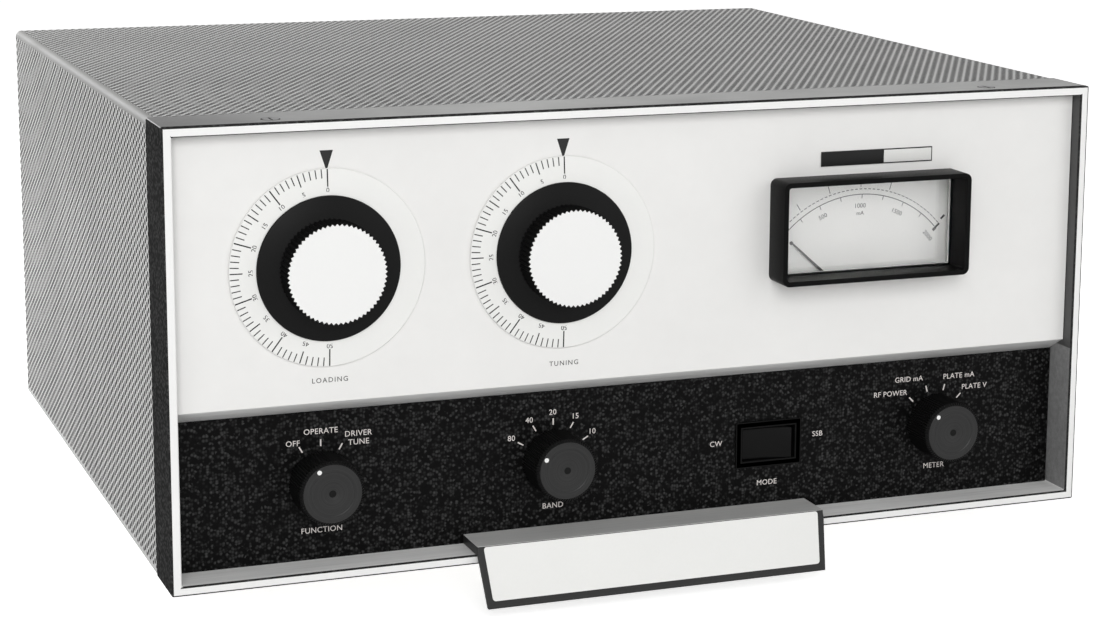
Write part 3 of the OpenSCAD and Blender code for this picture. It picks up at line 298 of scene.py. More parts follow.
@dataclass(frozen=True)
class Finish:
    """One surface finish, made as a procedural material.

    Attributes:
        slot: The record's material slot that it stands for.
        colour: Linear base colour.
        rough: Roughness at the low and high ends of the pattern.
        metal: 1 for bare metal.
        effect: The pattern that the surface has.
        scale: Scale of the pattern.
        tone: How much the pattern changes the colour.
        bump: Height of the pattern.
        soil: How much dull, darker film lies on it.
        mark: Colour of the pattern's marks, where it has them, and of the painted shade.
        coat: Weight of a clear coat.
        gloss: Strength of the plain reflection, where 0.5 is a smooth plastic's.
        middle: Middle of turning marks.
        spin: Turn of the pattern about X, Y and Z.
        painted_shade_x: Places along X over which painted shade in the mark colour fades out to the
        finish's own colour.
        name: A name of its own, where several finishes share a slot.
    """

    slot: str
    colour: Colour
    rough: tuple[float, float] = (0.4, 0.5)
    metal: float = 0.0
    effect: Effect = Effect.GRAIN
    scale: float = 900.0
    tone: float = 0.3
    bump: float = 0.004
    soil: float = 0.15
    mark: Colour = grey(0.5)
    coat: float = 0.0
    gloss: float = 0.5
    middle: Point | None = None
    spin: Point = (0.0, 0.0, 0.0)
    painted_shade_x: tuple[float, float] | None = None
    name: str = ""

    def material(self) -> bpy.types.Material:
        """Returns the finish's material, and builds it the first time."""
        label = "finish_" + (self.name or self.slot)
        return bpy.data.materials.get(label) or self._build(label)

    def _build(self, label: str) -> bpy.types.Material:
        """Makes the material.

        Args:
            label: The material's name.

        Returns:
            The new material.
        """
        material = bpy.data.materials.new(label)
        material.use_nodes = True
        material.diffuse_color = (*self.colour, 1.0)
        wire = Wiring(material.node_tree)
        place = wire.add("ShaderNodeTexCoord").outputs["Object"]
        turn = Euler([math.radians(a) for a in self.spin])
        centre = at(*self.middle) if self.middle else Vector((0.0, 0.0, 0.0))
        moved = wire.add("ShaderNodeMapping", {0: place, 1: -(turn.to_matrix() @ centre), 2: turn},
                         vector_type="POINT").outputs[0]
        group = wire.add("ShaderNodeGroup", {
            "Vector": moved, "Scale": self.scale, "Tone": self.tone, "Soil": self.soil,
            "Rough Low": self.rough[0], "Rough High": self.rough[1],
            "Colour": (*self.colour, 1.0), "Mark Colour": (*self.mark, 1.0),
        }, node_tree=self.effect.group()).outputs
        bump = wire.add("ShaderNodeBump", {"Height": group["Height"], "Distance": self.bump * MM,
                                           "Strength": 0.8}).outputs[0]
        colour = group["Colour"]
        # Painted shade along X: the mark colour at low X, fading out to the finish's own colour.
        if self.painted_shade_x is not None:
            across = wire.add("ShaderNodeSeparateXYZ", {0: place}).outputs[0]
            share = wire.ramp(across, self.painted_shade_x[0] * MM, self.painted_shade_x[1] * MM)
            colour = wire.mix(share, (*self.mark, 1.0), colour)
        wire.feed(material.node_tree.nodes["Principled BSDF"],
                  self._surface(colour, group["Roughness"]) | {"Normal": bump})
        return material

    def _surface(self, colour: Socket, rough: Socket) -> dict[str, object]:
        """Returns the shader's inputs, from the pattern's colour and roughness."""
        return {"Base Color": colour, "Roughness": rough, "Metallic": self.metal,
                "Coat Weight": self.coat, "Coat Roughness": 0.12, "Specular IOR Level": self.gloss}


@dataclass(frozen=True)
class Glass(Finish):
    """Clear glass with faint smears."""

    tint: Colour = (0.96, 0.98, 0.98)

    def _surface(self, colour: Socket, rough: Socket) -> dict[str, object]:
        """Returns the shader's inputs, with the tint in place of the pattern's colour."""
        clear_glass = {"Base Color": (*self.tint, 1.0), "Transmission Weight": 1.0, "IOR": 1.5}
        return super()._surface(colour, rough) | clear_glass


# The bezel's sides take a dark copy of its grey, as painted shade; the top's front band and the seam
# inside the lip share it.
BEZEL_SIDE_SHADED = Finish("bezel_aluminium", grey(0.036), (0.4, 0.56), effect=Effect.CRACKLE, scale=800.0,
                    tone=0.9, bump=0.02, soil=0.25, mark=grey(0.085), gloss=0.0)
# The top, with painted shade at its left end: grey 0.03 there, fading out towards x -110.
BEZEL_TOP = Finish("bezel_aluminium", (0.34, 0.34, 0.335), (0.36, 0.5), tone=0.5, bump=0.012, soil=0.5,
                   mark=grey(0.03), gloss=0.2, painted_shade_x=(-225.0, -110.0), name="bezel_top")
BEZEL_LIP = Finish("bezel_aluminium", (0.86, 0.86, 0.85), (0.34, 0.44), tone=0.06, bump=0.006, soil=0.1,
                   gloss=0.4, name="bezel_lip")
# Inside the bezel, lit and shaded copies of one aluminium: the floor made lighter as painted light, the
# walls above the strip darkened as painted shade, those beside the lower panel lighter.
BEZEL_FLOOR_LIT = Finish("bezel_aluminium", (0.9, 0.9, 0.89), (0.3, 0.48), effect=Effect.BRUSHED, scale=700.0,
                     tone=0.5, bump=0.006, soil=0.35, name="bezel_floor_lit")
BEZEL_UPPER_WALL_SHADED = Finish("bezel_aluminium", grey(0.085), (0.34, 0.48), scale=700.0, tone=0.6, bump=0.012,
                    soil=0.4, gloss=0.25, name="bezel_upper_wall_shaded")
BEZEL_LOWER_WALL_LIGHTER = Finish("bezel_aluminium", grey(0.29), (0.36, 0.5), scale=500.0, tone=0.9, bump=0.015,
                        soil=0.7, gloss=0.25, name="bezel_lower_wall_lighter")
COVER_GREY = Finish("cover_grey", (0.43, 0.43, 0.425), (0.4, 0.52), scale=1500.0, tone=0.18, bump=0.015,
                    soil=0.2, gloss=0.15)
# The bends take a darker copy of the cover's grey: painted shade that dims their highlight.
COVER_BEND_SHADED = Finish("cover_grey", (0.26, 0.26, 0.255), (0.45, 0.56), scale=1500.0, tone=0.2, bump=0.015,
                    soil=0.3, gloss=0.05, name="cover_bend")
# Near black on the hole walls and the sheet's inside face: painted shade in the holes and inside the
# sheet.
COVER_HOLES_SHADE = Finish("cover_grey", grey(0.014), (0.5, 0.6), scale=1500.0, bump=0.01, gloss=0.15,
                     name="cover_holes")
PLATED_STEEL = Finish("plated_steel", (0.6, 0.59, 0.56), (0.3, 0.48), metal=1.0, scale=240.0, tone=0.28,
                      soil=0.3)
LIGHT_PANEL = Finish("light_panel", (0.82, 0.815, 0.8), (0.42, 0.54), scale=90.0, tone=0.05, bump=0.01,
                     soil=0.06, gloss=0.3)
BLACK_PANEL = Finish("black_panel", grey(0.003), (0.42, 0.62), effect=Effect.CRACKLE, scale=820.0,
                     tone=0.6, bump=0.05, soil=0.1, mark=grey(0.055), gloss=0.04)
BRIGHT_TRIM = Finish("bright_trim", (0.88, 0.88, 0.87), (0.3, 0.45), metal=0.15, effect=Effect.BRUSHED,
                     scale=700.0, tone=0.6, soil=0.25)
BADGE_DARK = Finish("badge_dark", grey(0.016), (0.3, 0.4), scale=1200.0, tone=0.2, bump=0.006, soil=0.1,
                    gloss=0.1)
BADGE_LIGHT = Finish("badge_dark", (0.74, 0.74, 0.72), (0.35, 0.45), scale=1200.0, tone=0.05, bump=0.006,
                     soil=0.1, name="badge_light")
NAMEPLATE_FACE = Finish("nameplate_light", (0.82, 0.82, 0.8), (0.34, 0.46), tone=0.04, bump=0.008,
                        soil=0.06)
NAMEPLATE_EDGE = Finish("nameplate_light", grey(0.02), (0.3, 0.42), tone=0.6, bump=0.01, soil=0.2,
                        gloss=0.2, name="nameplate_edge")
NAMEPLATE_LEDGE = Finish("nameplate_light", (0.66, 0.66, 0.65), (0.3, 0.44), metal=0.2,
                         effect=Effect.BRUSHED, scale=500.0, tone=0.5, bump=0.006, soil=0.3,
                         name="nameplate_ledge")
DIAL_LIGHT = Finish("dial_light", (0.83, 0.83, 0.81), (0.36, 0.46), scale=1000.0, tone=0.03, bump=0.006,
                    soil=0.05)
DIAL_INK = Finish("dial_light", grey(0.03), (0.45, 0.6), scale=2000.0, tone=0.5, soil=0.0, gloss=0.1,
                  name="dial_ink")
KNOB_BLACK = Finish("knob_black", grey(0.006), (0.3, 0.46), scale=1500.0, tone=0.8, bump=0.012,
                    gloss=0.08)
KNOB_WHITE = Finish("knob_black", (0.84, 0.84, 0.83), (0.35, 0.45), tone=0.03, bump=0.006, soil=0.05,
                    gloss=0.3, name="knob_white")
VANES = Finish("vane_aluminium", grey(0.74), (0.28, 0.42), metal=1.0, scale=700.0, tone=0.1, bump=0.003)
STEATITE = Finish("steatite", (0.8, 0.76, 0.68), (0.22, 0.34), scale=600.0, tone=0.06, bump=0.01,
                  coat=0.3)
SHAFT_STEEL = Finish("shaft_steel", (0.54, 0.54, 0.53), (0.22, 0.36), metal=1.0, scale=1500.0, tone=0.15,
                     soil=0.2)
WAFER_BROWN = Finish("wafer_brown", (0.17, 0.075, 0.03), (0.38, 0.5), scale=800.0, tone=0.4, bump=0.01)
ROCKER_BLACK = Finish("rocker_black", grey(0.005), (0.3, 0.45), scale=1500.0, tone=0.6, bump=0.01,
                      soil=0.1, gloss=0.06)
HOOD_BLACK = Finish("hood_black", grey(0.003), (0.3, 0.46), scale=1300.0, tone=0.8, bump=0.03, soil=0.12,
                    gloss=0.05)
METER_GLASS = Glass("meter_glass", (0.9, 0.95, 0.95), (0.015, 0.05), scale=60.0, tone=0.0, bump=0.0005,
                    soil=0.02, tint=grey(1.0))
SCALE_WHITE = Finish("scale_white", (0.8, 0.8, 0.78), (0.5, 0.6), scale=500.0, tone=0.04, soil=0.1)
SCALE_INK = Finish("scale_white", grey(0.035), (0.5, 0.6), scale=2000.0, bump=0.003, soil=0.0,
                   name="scale_ink")
NEEDLE_BLACK = Finish("needle_black", grey(0.02), (0.35, 0.5), scale=2000.0)
CASE_GREY = Finish("case_grey", grey(0.03), (0.4, 0.55), scale=1200.0, bump=0.015)
MAGNET_IRON = Finish("magnet_iron", grey(0.13), (0.45, 0.65), metal=0.6, tone=0.4, bump=0.03)
TUBE_GLASS = Glass("tube_glass", (0.8, 0.85, 0.88), (0.01, 0.04), scale=40.0, tone=0.0, bump=0.0005,
                   soil=0.02, tint=(0.93, 0.96, 0.97))
TUBE_INNER = Finish("tube_glass", (0.05, 0.05, 0.052), (0.5, 0.7), scale=700.0, tone=0.4, bump=0.02,
                    name="tube_graphite")
TUBE_BASE = Finish("tube_glass", (0.5, 0.5, 0.49), (0.25, 0.4), metal=1.0, scale=500.0, tone=0.15,
                   name="tube_base")
CLIP_BLACK = Finish("clip_black", grey(0.04), (0.35, 0.5), metal=0.7, scale=1200.0, bump=0.01)
CHOKE_WINDING = Finish("choke_winding", (0.28, 0.11, 0.035), (0.25, 0.4), effect=Effect.LAYERS,
                       scale=7000.0, tone=0.6, bump=0.1, coat=0.4)
COIL_SILVER = Finish("coil_silver", (0.76, 0.72, 0.62), (0.18, 0.34), metal=1.0, scale=500.0, tone=0.25,
                     soil=0.4)
RELAY_CAN = Finish("relay_can", grey(0.68), (0.25, 0.4), metal=1.0, scale=400.0, tone=0.12, soil=0.2)
LAMINATION = Finish("lamination", grey(0.045), (0.3, 0.5), effect=Effect.LAYERS, scale=9000.0, tone=0.6,
                    bump=0.08, spin=(90.0, 0.0, 0.0))
WINDING_WRAP = Finish("winding_wrap", (0.42, 0.3, 0.11), (0.35, 0.5), scale=320.0, bump=0.03, coat=0.2)
CAN_SLEEVE = Finish("can_sleeve", (0.028, 0.055, 0.15), (0.28, 0.38), scale=700.0, tone=0.2, bump=0.01)
BOARD_GREEN = Finish("board_green", (0.02, 0.085, 0.028), (0.3, 0.45), scale=1300.0, tone=0.35, bump=0.01,
                     coat=0.2)
FAN_BLACK = Finish("fan_black", grey(0.016), (0.42, 0.56), scale=1400.0, tone=0.4, bump=0.015)
BRIGHT_NICKEL = Finish("bright_nickel", (0.74, 0.72, 0.68), (0.14, 0.28), metal=1.0, scale=800.0,
                       tone=0.12, bump=0.003, soil=0.2)
FUSE_BLACK = Finish("fuse_black", grey(0.014), (0.34, 0.48), scale=1500.0, tone=0.4, bump=0.012)
POST_BRASS = Finish("post_brass", (0.62, 0.43, 0.18), (0.2, 0.36), metal=1.0, scale=800.0, tone=0.25,
                    soil=0.3)
FOOT_RUBBER = Finish("foot_rubber", grey(0.024), (0.6, 0.78), tone=0.4, bump=0.03, soil=0.35)
SCREW_STEEL = Finish("screw_steel", grey(0.045), (0.25, 0.4), metal=0.3, scale=1500.0, tone=0.2,
                     soil=0.25)
PANEL_INK = Finish("black_panel", (0.7, 0.66, 0.64), (0.5, 0.6), scale=2600.0, tone=0.35, bump=0.003,
                   soil=0.1, name="panel_ink")
REAR_INK = Finish("plated_steel", grey(0.02), (0.5, 0.6), scale=2600.0, bump=0.003, soil=0.0,
                  name="rear_ink")

CARRIED: tuple[Finish, ...] = (
    PLATED_STEEL, LIGHT_PANEL, BLACK_PANEL, BRIGHT_TRIM, VANES, STEATITE, SHAFT_STEEL, WAFER_BROWN,
    ROCKER_BLACK, METER_GLASS, SCALE_WHITE, NEEDLE_BLACK, CASE_GREY, MAGNET_IRON, CLIP_BLACK,
    CHOKE_WINDING, RELAY_CAN, LAMINATION, WINDING_WRAP, CAN_SLEEVE, BOARD_GREEN, FAN_BLACK,
    BRIGHT_NICKEL, FUSE_BLACK, POST_BRASS, FOOT_RUBBER, SCREW_STEEL, KNOB_BLACK, DIAL_LIGHT,
    HOOD_BLACK, COVER_GREY, BEZEL_SIDE_SHADED, BADGE_DARK, NAMEPLATE_FACE, TUBE_GLASS, COIL_SILVER,
)


# ------------------------------------------------------------------ modelling by hand


def clear() -> None:
    """Leaves edit mode and drops the selection."""
    if bpy.context.object is not None and bpy.context.object.mode != "OBJECT":
        bpy.ops.object.mode_set(mode="OBJECT")
    bpy.ops.object.select_all(action="DESELECT")


def take(*pieces: Piece) -> Piece:
    """Selects pieces and nothing else, and makes the first one active.

    Args:
        pieces: The pieces to select.

    Returns:
        The first of them.
    """
    clear()
    for piece in pieces:
        piece.select_set(True)
    bpy.context.view_layer.objects.active = pieces[0]
    return pieces[0]


def settle(piece: Piece, name: str) -> Piece:
    """Names a piece and moves its place into its mesh.

    Args:
        piece: The piece.
        name: Its name.

    Returns:
        The same piece.
    """
    take(piece)
    bpy.ops.object.transform_apply(location=True, rotation=True, scale=True)
    piece.name = name
    piece.data.name = name
    return piece


@contextmanager
def editing(piece: Piece, mode: str = "FACE", everything: bool = False) -> Iterator[None]:
    """Opens a piece in edit mode, and closes it afterwards.

    Args:
        piece: The piece to edit.
        mode: VERT, EDGE or FACE selection.
        everything: Whether all of it is selected at first, or nothing.

    Yields:
        Nothing.
    """
    take(piece)
    bpy.ops.object.mode_set(mode="EDIT")
    bpy.ops.mesh.select_mode(type=mode)
    bpy.ops.mesh.select_all(action="SELECT" if everything else "DESELECT")
    yield
    bpy.ops.object.mode_set(mode="OBJECT")


def pick(piece: Piece, test: Test, kind: str = "faces") -> None:
    """Selects parts of the mesh that is open in edit mode.

    Args:
        piece: The piece that is open.
        test: Takes a place and a normal.
        kind: faces, edges or verts. An edge passes if both its ends do.
    """
    mesh = bmesh.from_edit_mesh(piece.data)
    for part in getattr(mesh, kind):
        if kind == "faces":
            hit = test(home(part.calc_center_median()), part.normal)
        elif kind == "edges":
            hit = all(test(home(v.co), v.normal) for v in part.verts)
        else:
            hit = test(home(part.co), part.normal)
        part.select_set(hit)
    mesh.select_flush_mode()
    bmesh.update_edit_mesh(piece.data)


def pick_runs(piece: Piece, test: Test) -> None:
    """Selects the edges of the open mesh whose two ends, taken together, pass a test.

    Args:
        piece: The piece that is open.
        test: Takes the places of an edge's two ends.
    """
    mesh = bmesh.from_edit_mesh(piece.data)
    for edge in mesh.edges:
        edge.select_set(test(*(home(v.co) for v in edge.verts)))
    bmesh.update_edit_mesh(piece.data)


def draw_out(x: float, y: float, z: float) -> None:
    """Extrudes the selection by a distance."""
    bpy.ops.mesh.extrude_region_move(TRANSFORM_OT_translate={"value": Vector((x, y, z)) * MM})


def shift(x: float, y: float, z: float) -> None:
    """Moves the selection by a distance."""
    bpy.ops.transform.translate(value=Vector((x, y, z)) * MM)


def narrow(ratio: float, x: float, y: float, z: float) -> None:
    """Makes the selection narrower along X, about a place."""
    bpy.ops.transform.resize(value=(ratio, 1.0, 1.0), center_override=at(x, y, z))


def inset(width: float, each: bool = False) -> None:
    """Insets the selected faces, as one or each by itself."""
    bpy.ops.mesh.inset(thickness=width * MM, depth=0.0, use_individual=each)


def round_off(width: float, segments: int) -> None:
    """Rounds the selected edges."""
    bpy.ops.mesh.bevel(offset=width * MM, segments=segments, affect="EDGES")


def cut_line(place: Vector, normal: Point, **options: bool) -> None:
    """Cuts the whole open mesh along a plane, and keeps both sides unless told otherwise."""
    bpy.ops.mesh.select_all(action="SELECT")
    bpy.ops.mesh.bisect(plane_co=place, plane_no=normal, **options)


def face_out(piece: Piece) -> Piece:
    """Turns the faces of a closed piece outwards.

    Args:
        piece: The piece.

    Returns:
        The same piece.
    """
    with editing(piece, everything=True):
        bpy.ops.mesh.normals_make_consistent(inside=False)
    return piece


def mend(piece: Piece, gap: float = 0.002) -> Piece:
    """Joins doubled points and turns the faces outwards.

    Args:
        piece: The piece.
        gap: Points closer than this are joined.

    Returns:
        The same piece.
    """
    with editing(piece, "VERT", True):
        bpy.ops.mesh.remove_doubles(threshold=gap * MM)
        bpy.ops.mesh.normals_make_consistent(inside=False)
    return piece


def modify(piece: Piece, kind: str, **settings: object) -> Piece:
    """Applies one modifier to a piece.

    Args:
        piece: The piece.
        kind: The modifier's type name.
        settings: Its properties.

    Returns:
        The same piece.
    """
    take(piece)
    modifier = piece.modifiers.new("step", kind)
    for key, value in settings.items():
        setattr(modifier, key, value)
    bpy.ops.object.modifier_apply(modifier=modifier.name)
    return piece


def shade(piece: Piece, angle: float = 32.0) -> Piece:
    """Shades a piece smooth, except over its sharp edges.

    Args:
        piece: The piece.
        angle: Edges sharper than this stay sharp.

    Returns:
        The same piece.
    """
    take(piece)
    bpy.ops.object.shade_smooth_by_angle(angle=math.radians(angle))
    return piece


def ease(piece: Piece, width: float, segments: int = 2, angle: float = 35.0) -> Piece:
    """Rounds the sharp edges of a piece, then shades it.

    Args:
        piece: The piece.
        width: Width of the rounding.
        segments: Its number of steps.
        angle: Edges sharper than this are rounded.

    Returns:
        The same piece.
    """
    return shade(modify(piece, "BEVEL", width=width * MM, segments=segments, limit_method="ANGLE",
                        angle_limit=math.radians(angle), harden_normals=False))


def even(piece: Piece) -> Piece:
    """Makes the shading of large faces flat up to their eased edges."""
    return modify(piece, "WEIGHTED_NORMAL", keep_sharp=True)


def cut_away(piece: Piece, *cutters: Piece) -> Piece:
    """Cuts pieces out of a piece, and removes them.

    Args:
        piece: The piece that is cut.
        cutters: The pieces that are cut out of it.

    Returns:
        The same piece.
    """
    for cutter in cutters:
        modify(piece, "BOOLEAN", operation="DIFFERENCE", solver="EXACT", object=cutter)
        bpy.data.objects.remove(cutter)
    return piece


def join(name: str, pieces: Sequence[Piece]) -> Piece:
    """Joins pieces into one mesh.

    Args:
        name: The name of the result.
        pieces: The pieces to join.

    Returns:
        The joined piece.
    """
    whole = take(*pieces)
    if len(pieces) > 1:
        bpy.ops.object.join()
    whole.name = name
    whole.data.name = name
    return whole


def block(name: str, low: Point, high: Point) -> Piece:
    """Makes a box from its two corners.

    Args:
        name: The piece's name.
        low: Its lowest corner.
        high: Its highest corner.

    Returns:
        The new piece.
    """
    clear()
    bpy.ops.mesh.primitive_cube_add(size=1, location=(at(*low) + at(*high)) / 2)
    piece = bpy.context.object
    piece.scale = (Vector(high) - Vector(low)) * MM
    return settle(piece, name)


def tube(name: str, low: Point, high: Point, wall: float) -> Piece:
    """Makes a square tube along Y.

    Args:
        name: The piece's name.
        low: Its lowest corner.
        high: Its highest corner.
        wall: Thickness of its wall.

    Returns:
        The new piece.
    """
    piece = block(name, low, high)
    with editing(piece):
        pick(piece, lambda p, n: abs(n.y) > 0.5)
        inset(wall, True)
        bpy.ops.mesh.bridge_edge_loops()
    return mend(piece)


def stand(piece: Piece, name: str, base: Point, axis: Axis) -> Piece:
    """Turns a form that was made at the origin to its axis, and moves it to its base.

    Args:
        piece: The form.
        name: Its name.
        base: The axis's start.
        axis: The direction that the form grows in.

    Returns:
        The same piece, with doubled points joined.
    """
    piece.rotation_euler = axis.value
    piece.location = at(*base)
    return mend(settle(piece, name))


def turned(name: str, base: Point, axis: Axis, profile: Sequence[tuple[float, float]],
           segments: int = 64, hollow: bool = False) -> Piece:
    """Turns a form on the lathe: a circle is drawn out and resized, ring by ring.

    Args:
        name: The piece's name.
        base: The axis's start.
        axis: The direction that the form grows in.
        profile: Radius and height of each ring. A last radius of 0 ends in a point.
        segments: Points in a ring.
        hollow: Whether the profile goes round a wall and ends where it starts.

    Returns:
        The new piece.
    """
    clear()
    radius, height = profile[0]
    bpy.ops.mesh.primitive_circle_add(vertices=segments, radius=radius * MM,
                                      fill_type="NOTHING" if hollow else "NGON",
                                      location=(0.0, 0.0, height * MM))
    piece = settle(bpy.context.object, name)
    with editing(piece, "EDGE" if hollow else "FACE", True):
        for wide, high in profile[1:]:
            step = {"value": (0.0, 0.0, (high - height) * MM)}
            if hollow:
                bpy.ops.mesh.extrude_edges_move(TRANSFORM_OT_translate=step)
            else:
                bpy.ops.mesh.extrude_region_move(TRANSFORM_OT_translate=step)
            if wide <= 0.0:
                bpy.ops.mesh.merge(type="CENTER")
            elif abs(wide - radius) > 1e-9:
                bpy.ops.transform.resize(value=(wide / radius, wide / radius, 1.0),
                                         center_override=(0.0, 0.0, high * MM))
            radius, height = wide, high
    return shade(stand(piece, name, base, axis))


def fluted(name: str, base: Point, axis: Axis, radius: float, count: int, depth: float,
           length: float, rounding: float) -> Piece:
    """Makes a ridged cylinder, such as a knob's grip.

    Args:
        name: The piece's name.
        base: The axis's start.
        axis: The direction that it grows in.
        radius: Radius over the ridges.
        count: Number of ridges.
        depth: Depth of the grooves.
        length: Length along the axis.
        rounding: Width of the rounded far edge.

    Returns:
        The new piece.
    """
    clear()
    bpy.ops.mesh.primitive_circle_add(vertices=2 * count, radius=radius * MM, fill_type="NGON")
    piece = settle(bpy.context.object, name)
    with editing(piece, "VERT"):
        mesh = bmesh.from_edit_mesh(piece.data)
        for index, vert in enumerate(mesh.verts):
            vert.select_set(index % 2 == 1)
        bmesh.update_edit_mesh(piece.data)
        ratio = (radius - depth) / radius
        bpy.ops.transform.resize(value=(ratio, ratio, 1.0), center_override=(0.0, 0.0, 0.0))
        bpy.ops.mesh.select_mode(type="FACE")
        bpy.ops.mesh.select_all(action="SELECT")
        draw_out(0.0, 0.0, length - rounding)
        draw_out(0.0, 0.0, rounding)
        ratio = (radius - rounding) / radius
        bpy.ops.transform.resize(value=(ratio, ratio, 1.0))
    return shade(stand(piece, name, base, axis), 20.0)


def slotted(head: Piece, spot: Spot, depths: tuple[float, float], reach: float, half: float) -> Piece:
    """Cuts a straight slot across the end of a piece that faces back.

    Args:
        head: The piece, such as a screw's head.
        spot: X and Z of its middle.
        depths: How far behind the rear panel the slot's floor and the cutter's end are.
        reach: Half the slot's length.
        half: Half the slot's width.

    Returns:
        The same piece.
    """
    x, z = spot
    slot = block("slot", (x - reach, REAR_Y + depths[0], z - half),
                 (x + reach, REAR_Y + depths[1], z + half))
    return shade(cut_away(head, slot))


def spun(piece: Piece, centre: Spot, turn: float, steps: int, end: Test | None = None) -> Piece:
    """Carries a piece round an axis along Y: a copy at each step, or one end drawn out.

    Args:
        piece: The piece, at the start of its path.
        centre: X and Z of the axis.
        turn: How far it goes, clockwise as seen from the front.
        steps: Number of steps.
        end: Picks the face that is drawn out. Without it, the whole piece is copied.

    Returns:
        The same piece.
    """
    with editing(piece, everything=end is None):
        if end is not None:
            pick(piece, end)
        bpy.ops.mesh.spin(steps=steps, dupli=end is None, angle=-math.radians(turn),
                          center=at(centre[0], 0.0, centre[1]), axis=(0.0, 1.0, 0.0))
    return mend(piece, 0.0005)


def lettered(text: str, spot: Spot, y: float, height: float, roll: float = 0.0, spacing: float = 1.05,
             back: bool = False, proud: float = 0.05) -> Piece:
    """Prints a line of text as a thin layer on an upright face.

    Args:
        text: The words or numbers.
        spot: X and Z of the text's middle.
        y: The face that it lies on.
        height: Height of the letters.
        roll: Counter-clockwise turn as seen by the reader.
        spacing: Spacing between the letters.
        back: Whether the reader stands behind the cabinet.
        proud: Thickness of the layer.

    Returns:
        The new piece.
    """
    clear()
    bpy.ops.object.text_add(location=(0.0, 0.0, 0.0))
    piece = bpy.context.object
    data = piece.data
    data.body = text
    data.size = height * MM * 1.4
    data.space_character = spacing
    data.extrude = proud / 2 * MM
    data.resolution_u = 3
    bpy.ops.object.convert(target="MESH")
    bpy.ops.object.origin_set(type="ORIGIN_GEOMETRY", center="BOUNDS")
    ratio = height * MM / piece.dimensions.y
    piece.scale = (ratio, ratio, 1.0)
    turn = Matrix.Rotation(math.radians(roll), 4, "Z")
    upright = Matrix.Rotation(math.radians(90.0), 4, "X")
    face = Matrix.Rotation(math.radians(180.0 if back else 0.0), 4, "Z")
    piece.rotation_euler = (face @ upright @ turn).to_euler()
    piece.location = at(spot[0], y + (proud / 2 if back else -proud / 2), spot[1])
    return mend(settle(piece, "word"), 0.0005)


def line(start: Spot, end: Spot, width: float, y: float, proud: float = 0.05,
         y_end: float | None = None) -> Piece:
    """Prints a straight line on an upright or slightly coned face.

    Args:
        start: X and Z of one end.
        end: X and Z of the other end.
        width: Width of the line.
        y: The face's place at the start.
        proud: Thickness of the layer.
        y_end: The face's place at the end, if it isn't the same.

    Returns:
        The new piece.
    """
    run = Vector((end[0] - start[0], (y if y_end is None else y_end) - y, end[1] - start[1]))
    clear()
    bpy.ops.mesh.primitive_cube_add(size=1)
    piece = bpy.context.object
    piece.scale = (width * MM, proud * MM, run.length * MM)
    across = Vector((run.z, 0.0, -run.x)).normalized()
    upward = run.normalized()
    basis = Matrix((across, upward.cross(across), upward)).transposed()
    piece.rotation_euler = basis.to_euler()
    piece.location = at(*(Vector((start[0], y - proud / 2, start[1])) + run / 2))
    return face_out(settle(piece, "line"))


def polar(centre: Spot, radius: float, angle: float) -> Spot:
    """Gives the place at a radius round a centre, clockwise from upright as seen from the front."""
    turn = math.radians(angle)
    return centre[0] + radius * math.sin(turn), centre[1] + radius * math.cos(turn)


def paint(piece: Piece, *finishes: Finish, test: Test | None = None) -> Piece:
    """Gives a piece its finish, or several by the place and normal of each face.

    Args:
        piece: The piece.
        finishes: The finishes, the main one first.
        test: Takes a face's middle and its normal, and gives the number of its finish.

    Returns:
        The same piece.
    """
    piece.data.materials.clear()
    for finish in finishes:
        piece.data.materials.append(finish.material())
    if test is not None:
        for face in piece.data.polygons:
            face.material_index = test(home(face.center), face.normal)
    return piece


def fit(piece: Piece, body: Body, finish: Finish, *nodes: str) -> Piece:
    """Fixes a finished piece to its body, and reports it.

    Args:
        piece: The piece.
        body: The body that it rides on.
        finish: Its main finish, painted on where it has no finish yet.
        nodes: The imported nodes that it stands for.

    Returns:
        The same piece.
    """
    if not piece.data.materials:
        paint(piece, finish)
    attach(piece, body.value)
    if nodes:
        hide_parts(*nodes)
    log.info("%s on %s, %d faces", piece.name, body.value, len(piece.data.polygons))
    return piece


def fix(piece: Piece, finish: Finish, *nodes: str) -> Piece:
    """Fits a piece to the cabinet."""
    return fit(piece, Body.CABINET, finish, *nodes)


# ------------------------------------------------------------------ the cabinet


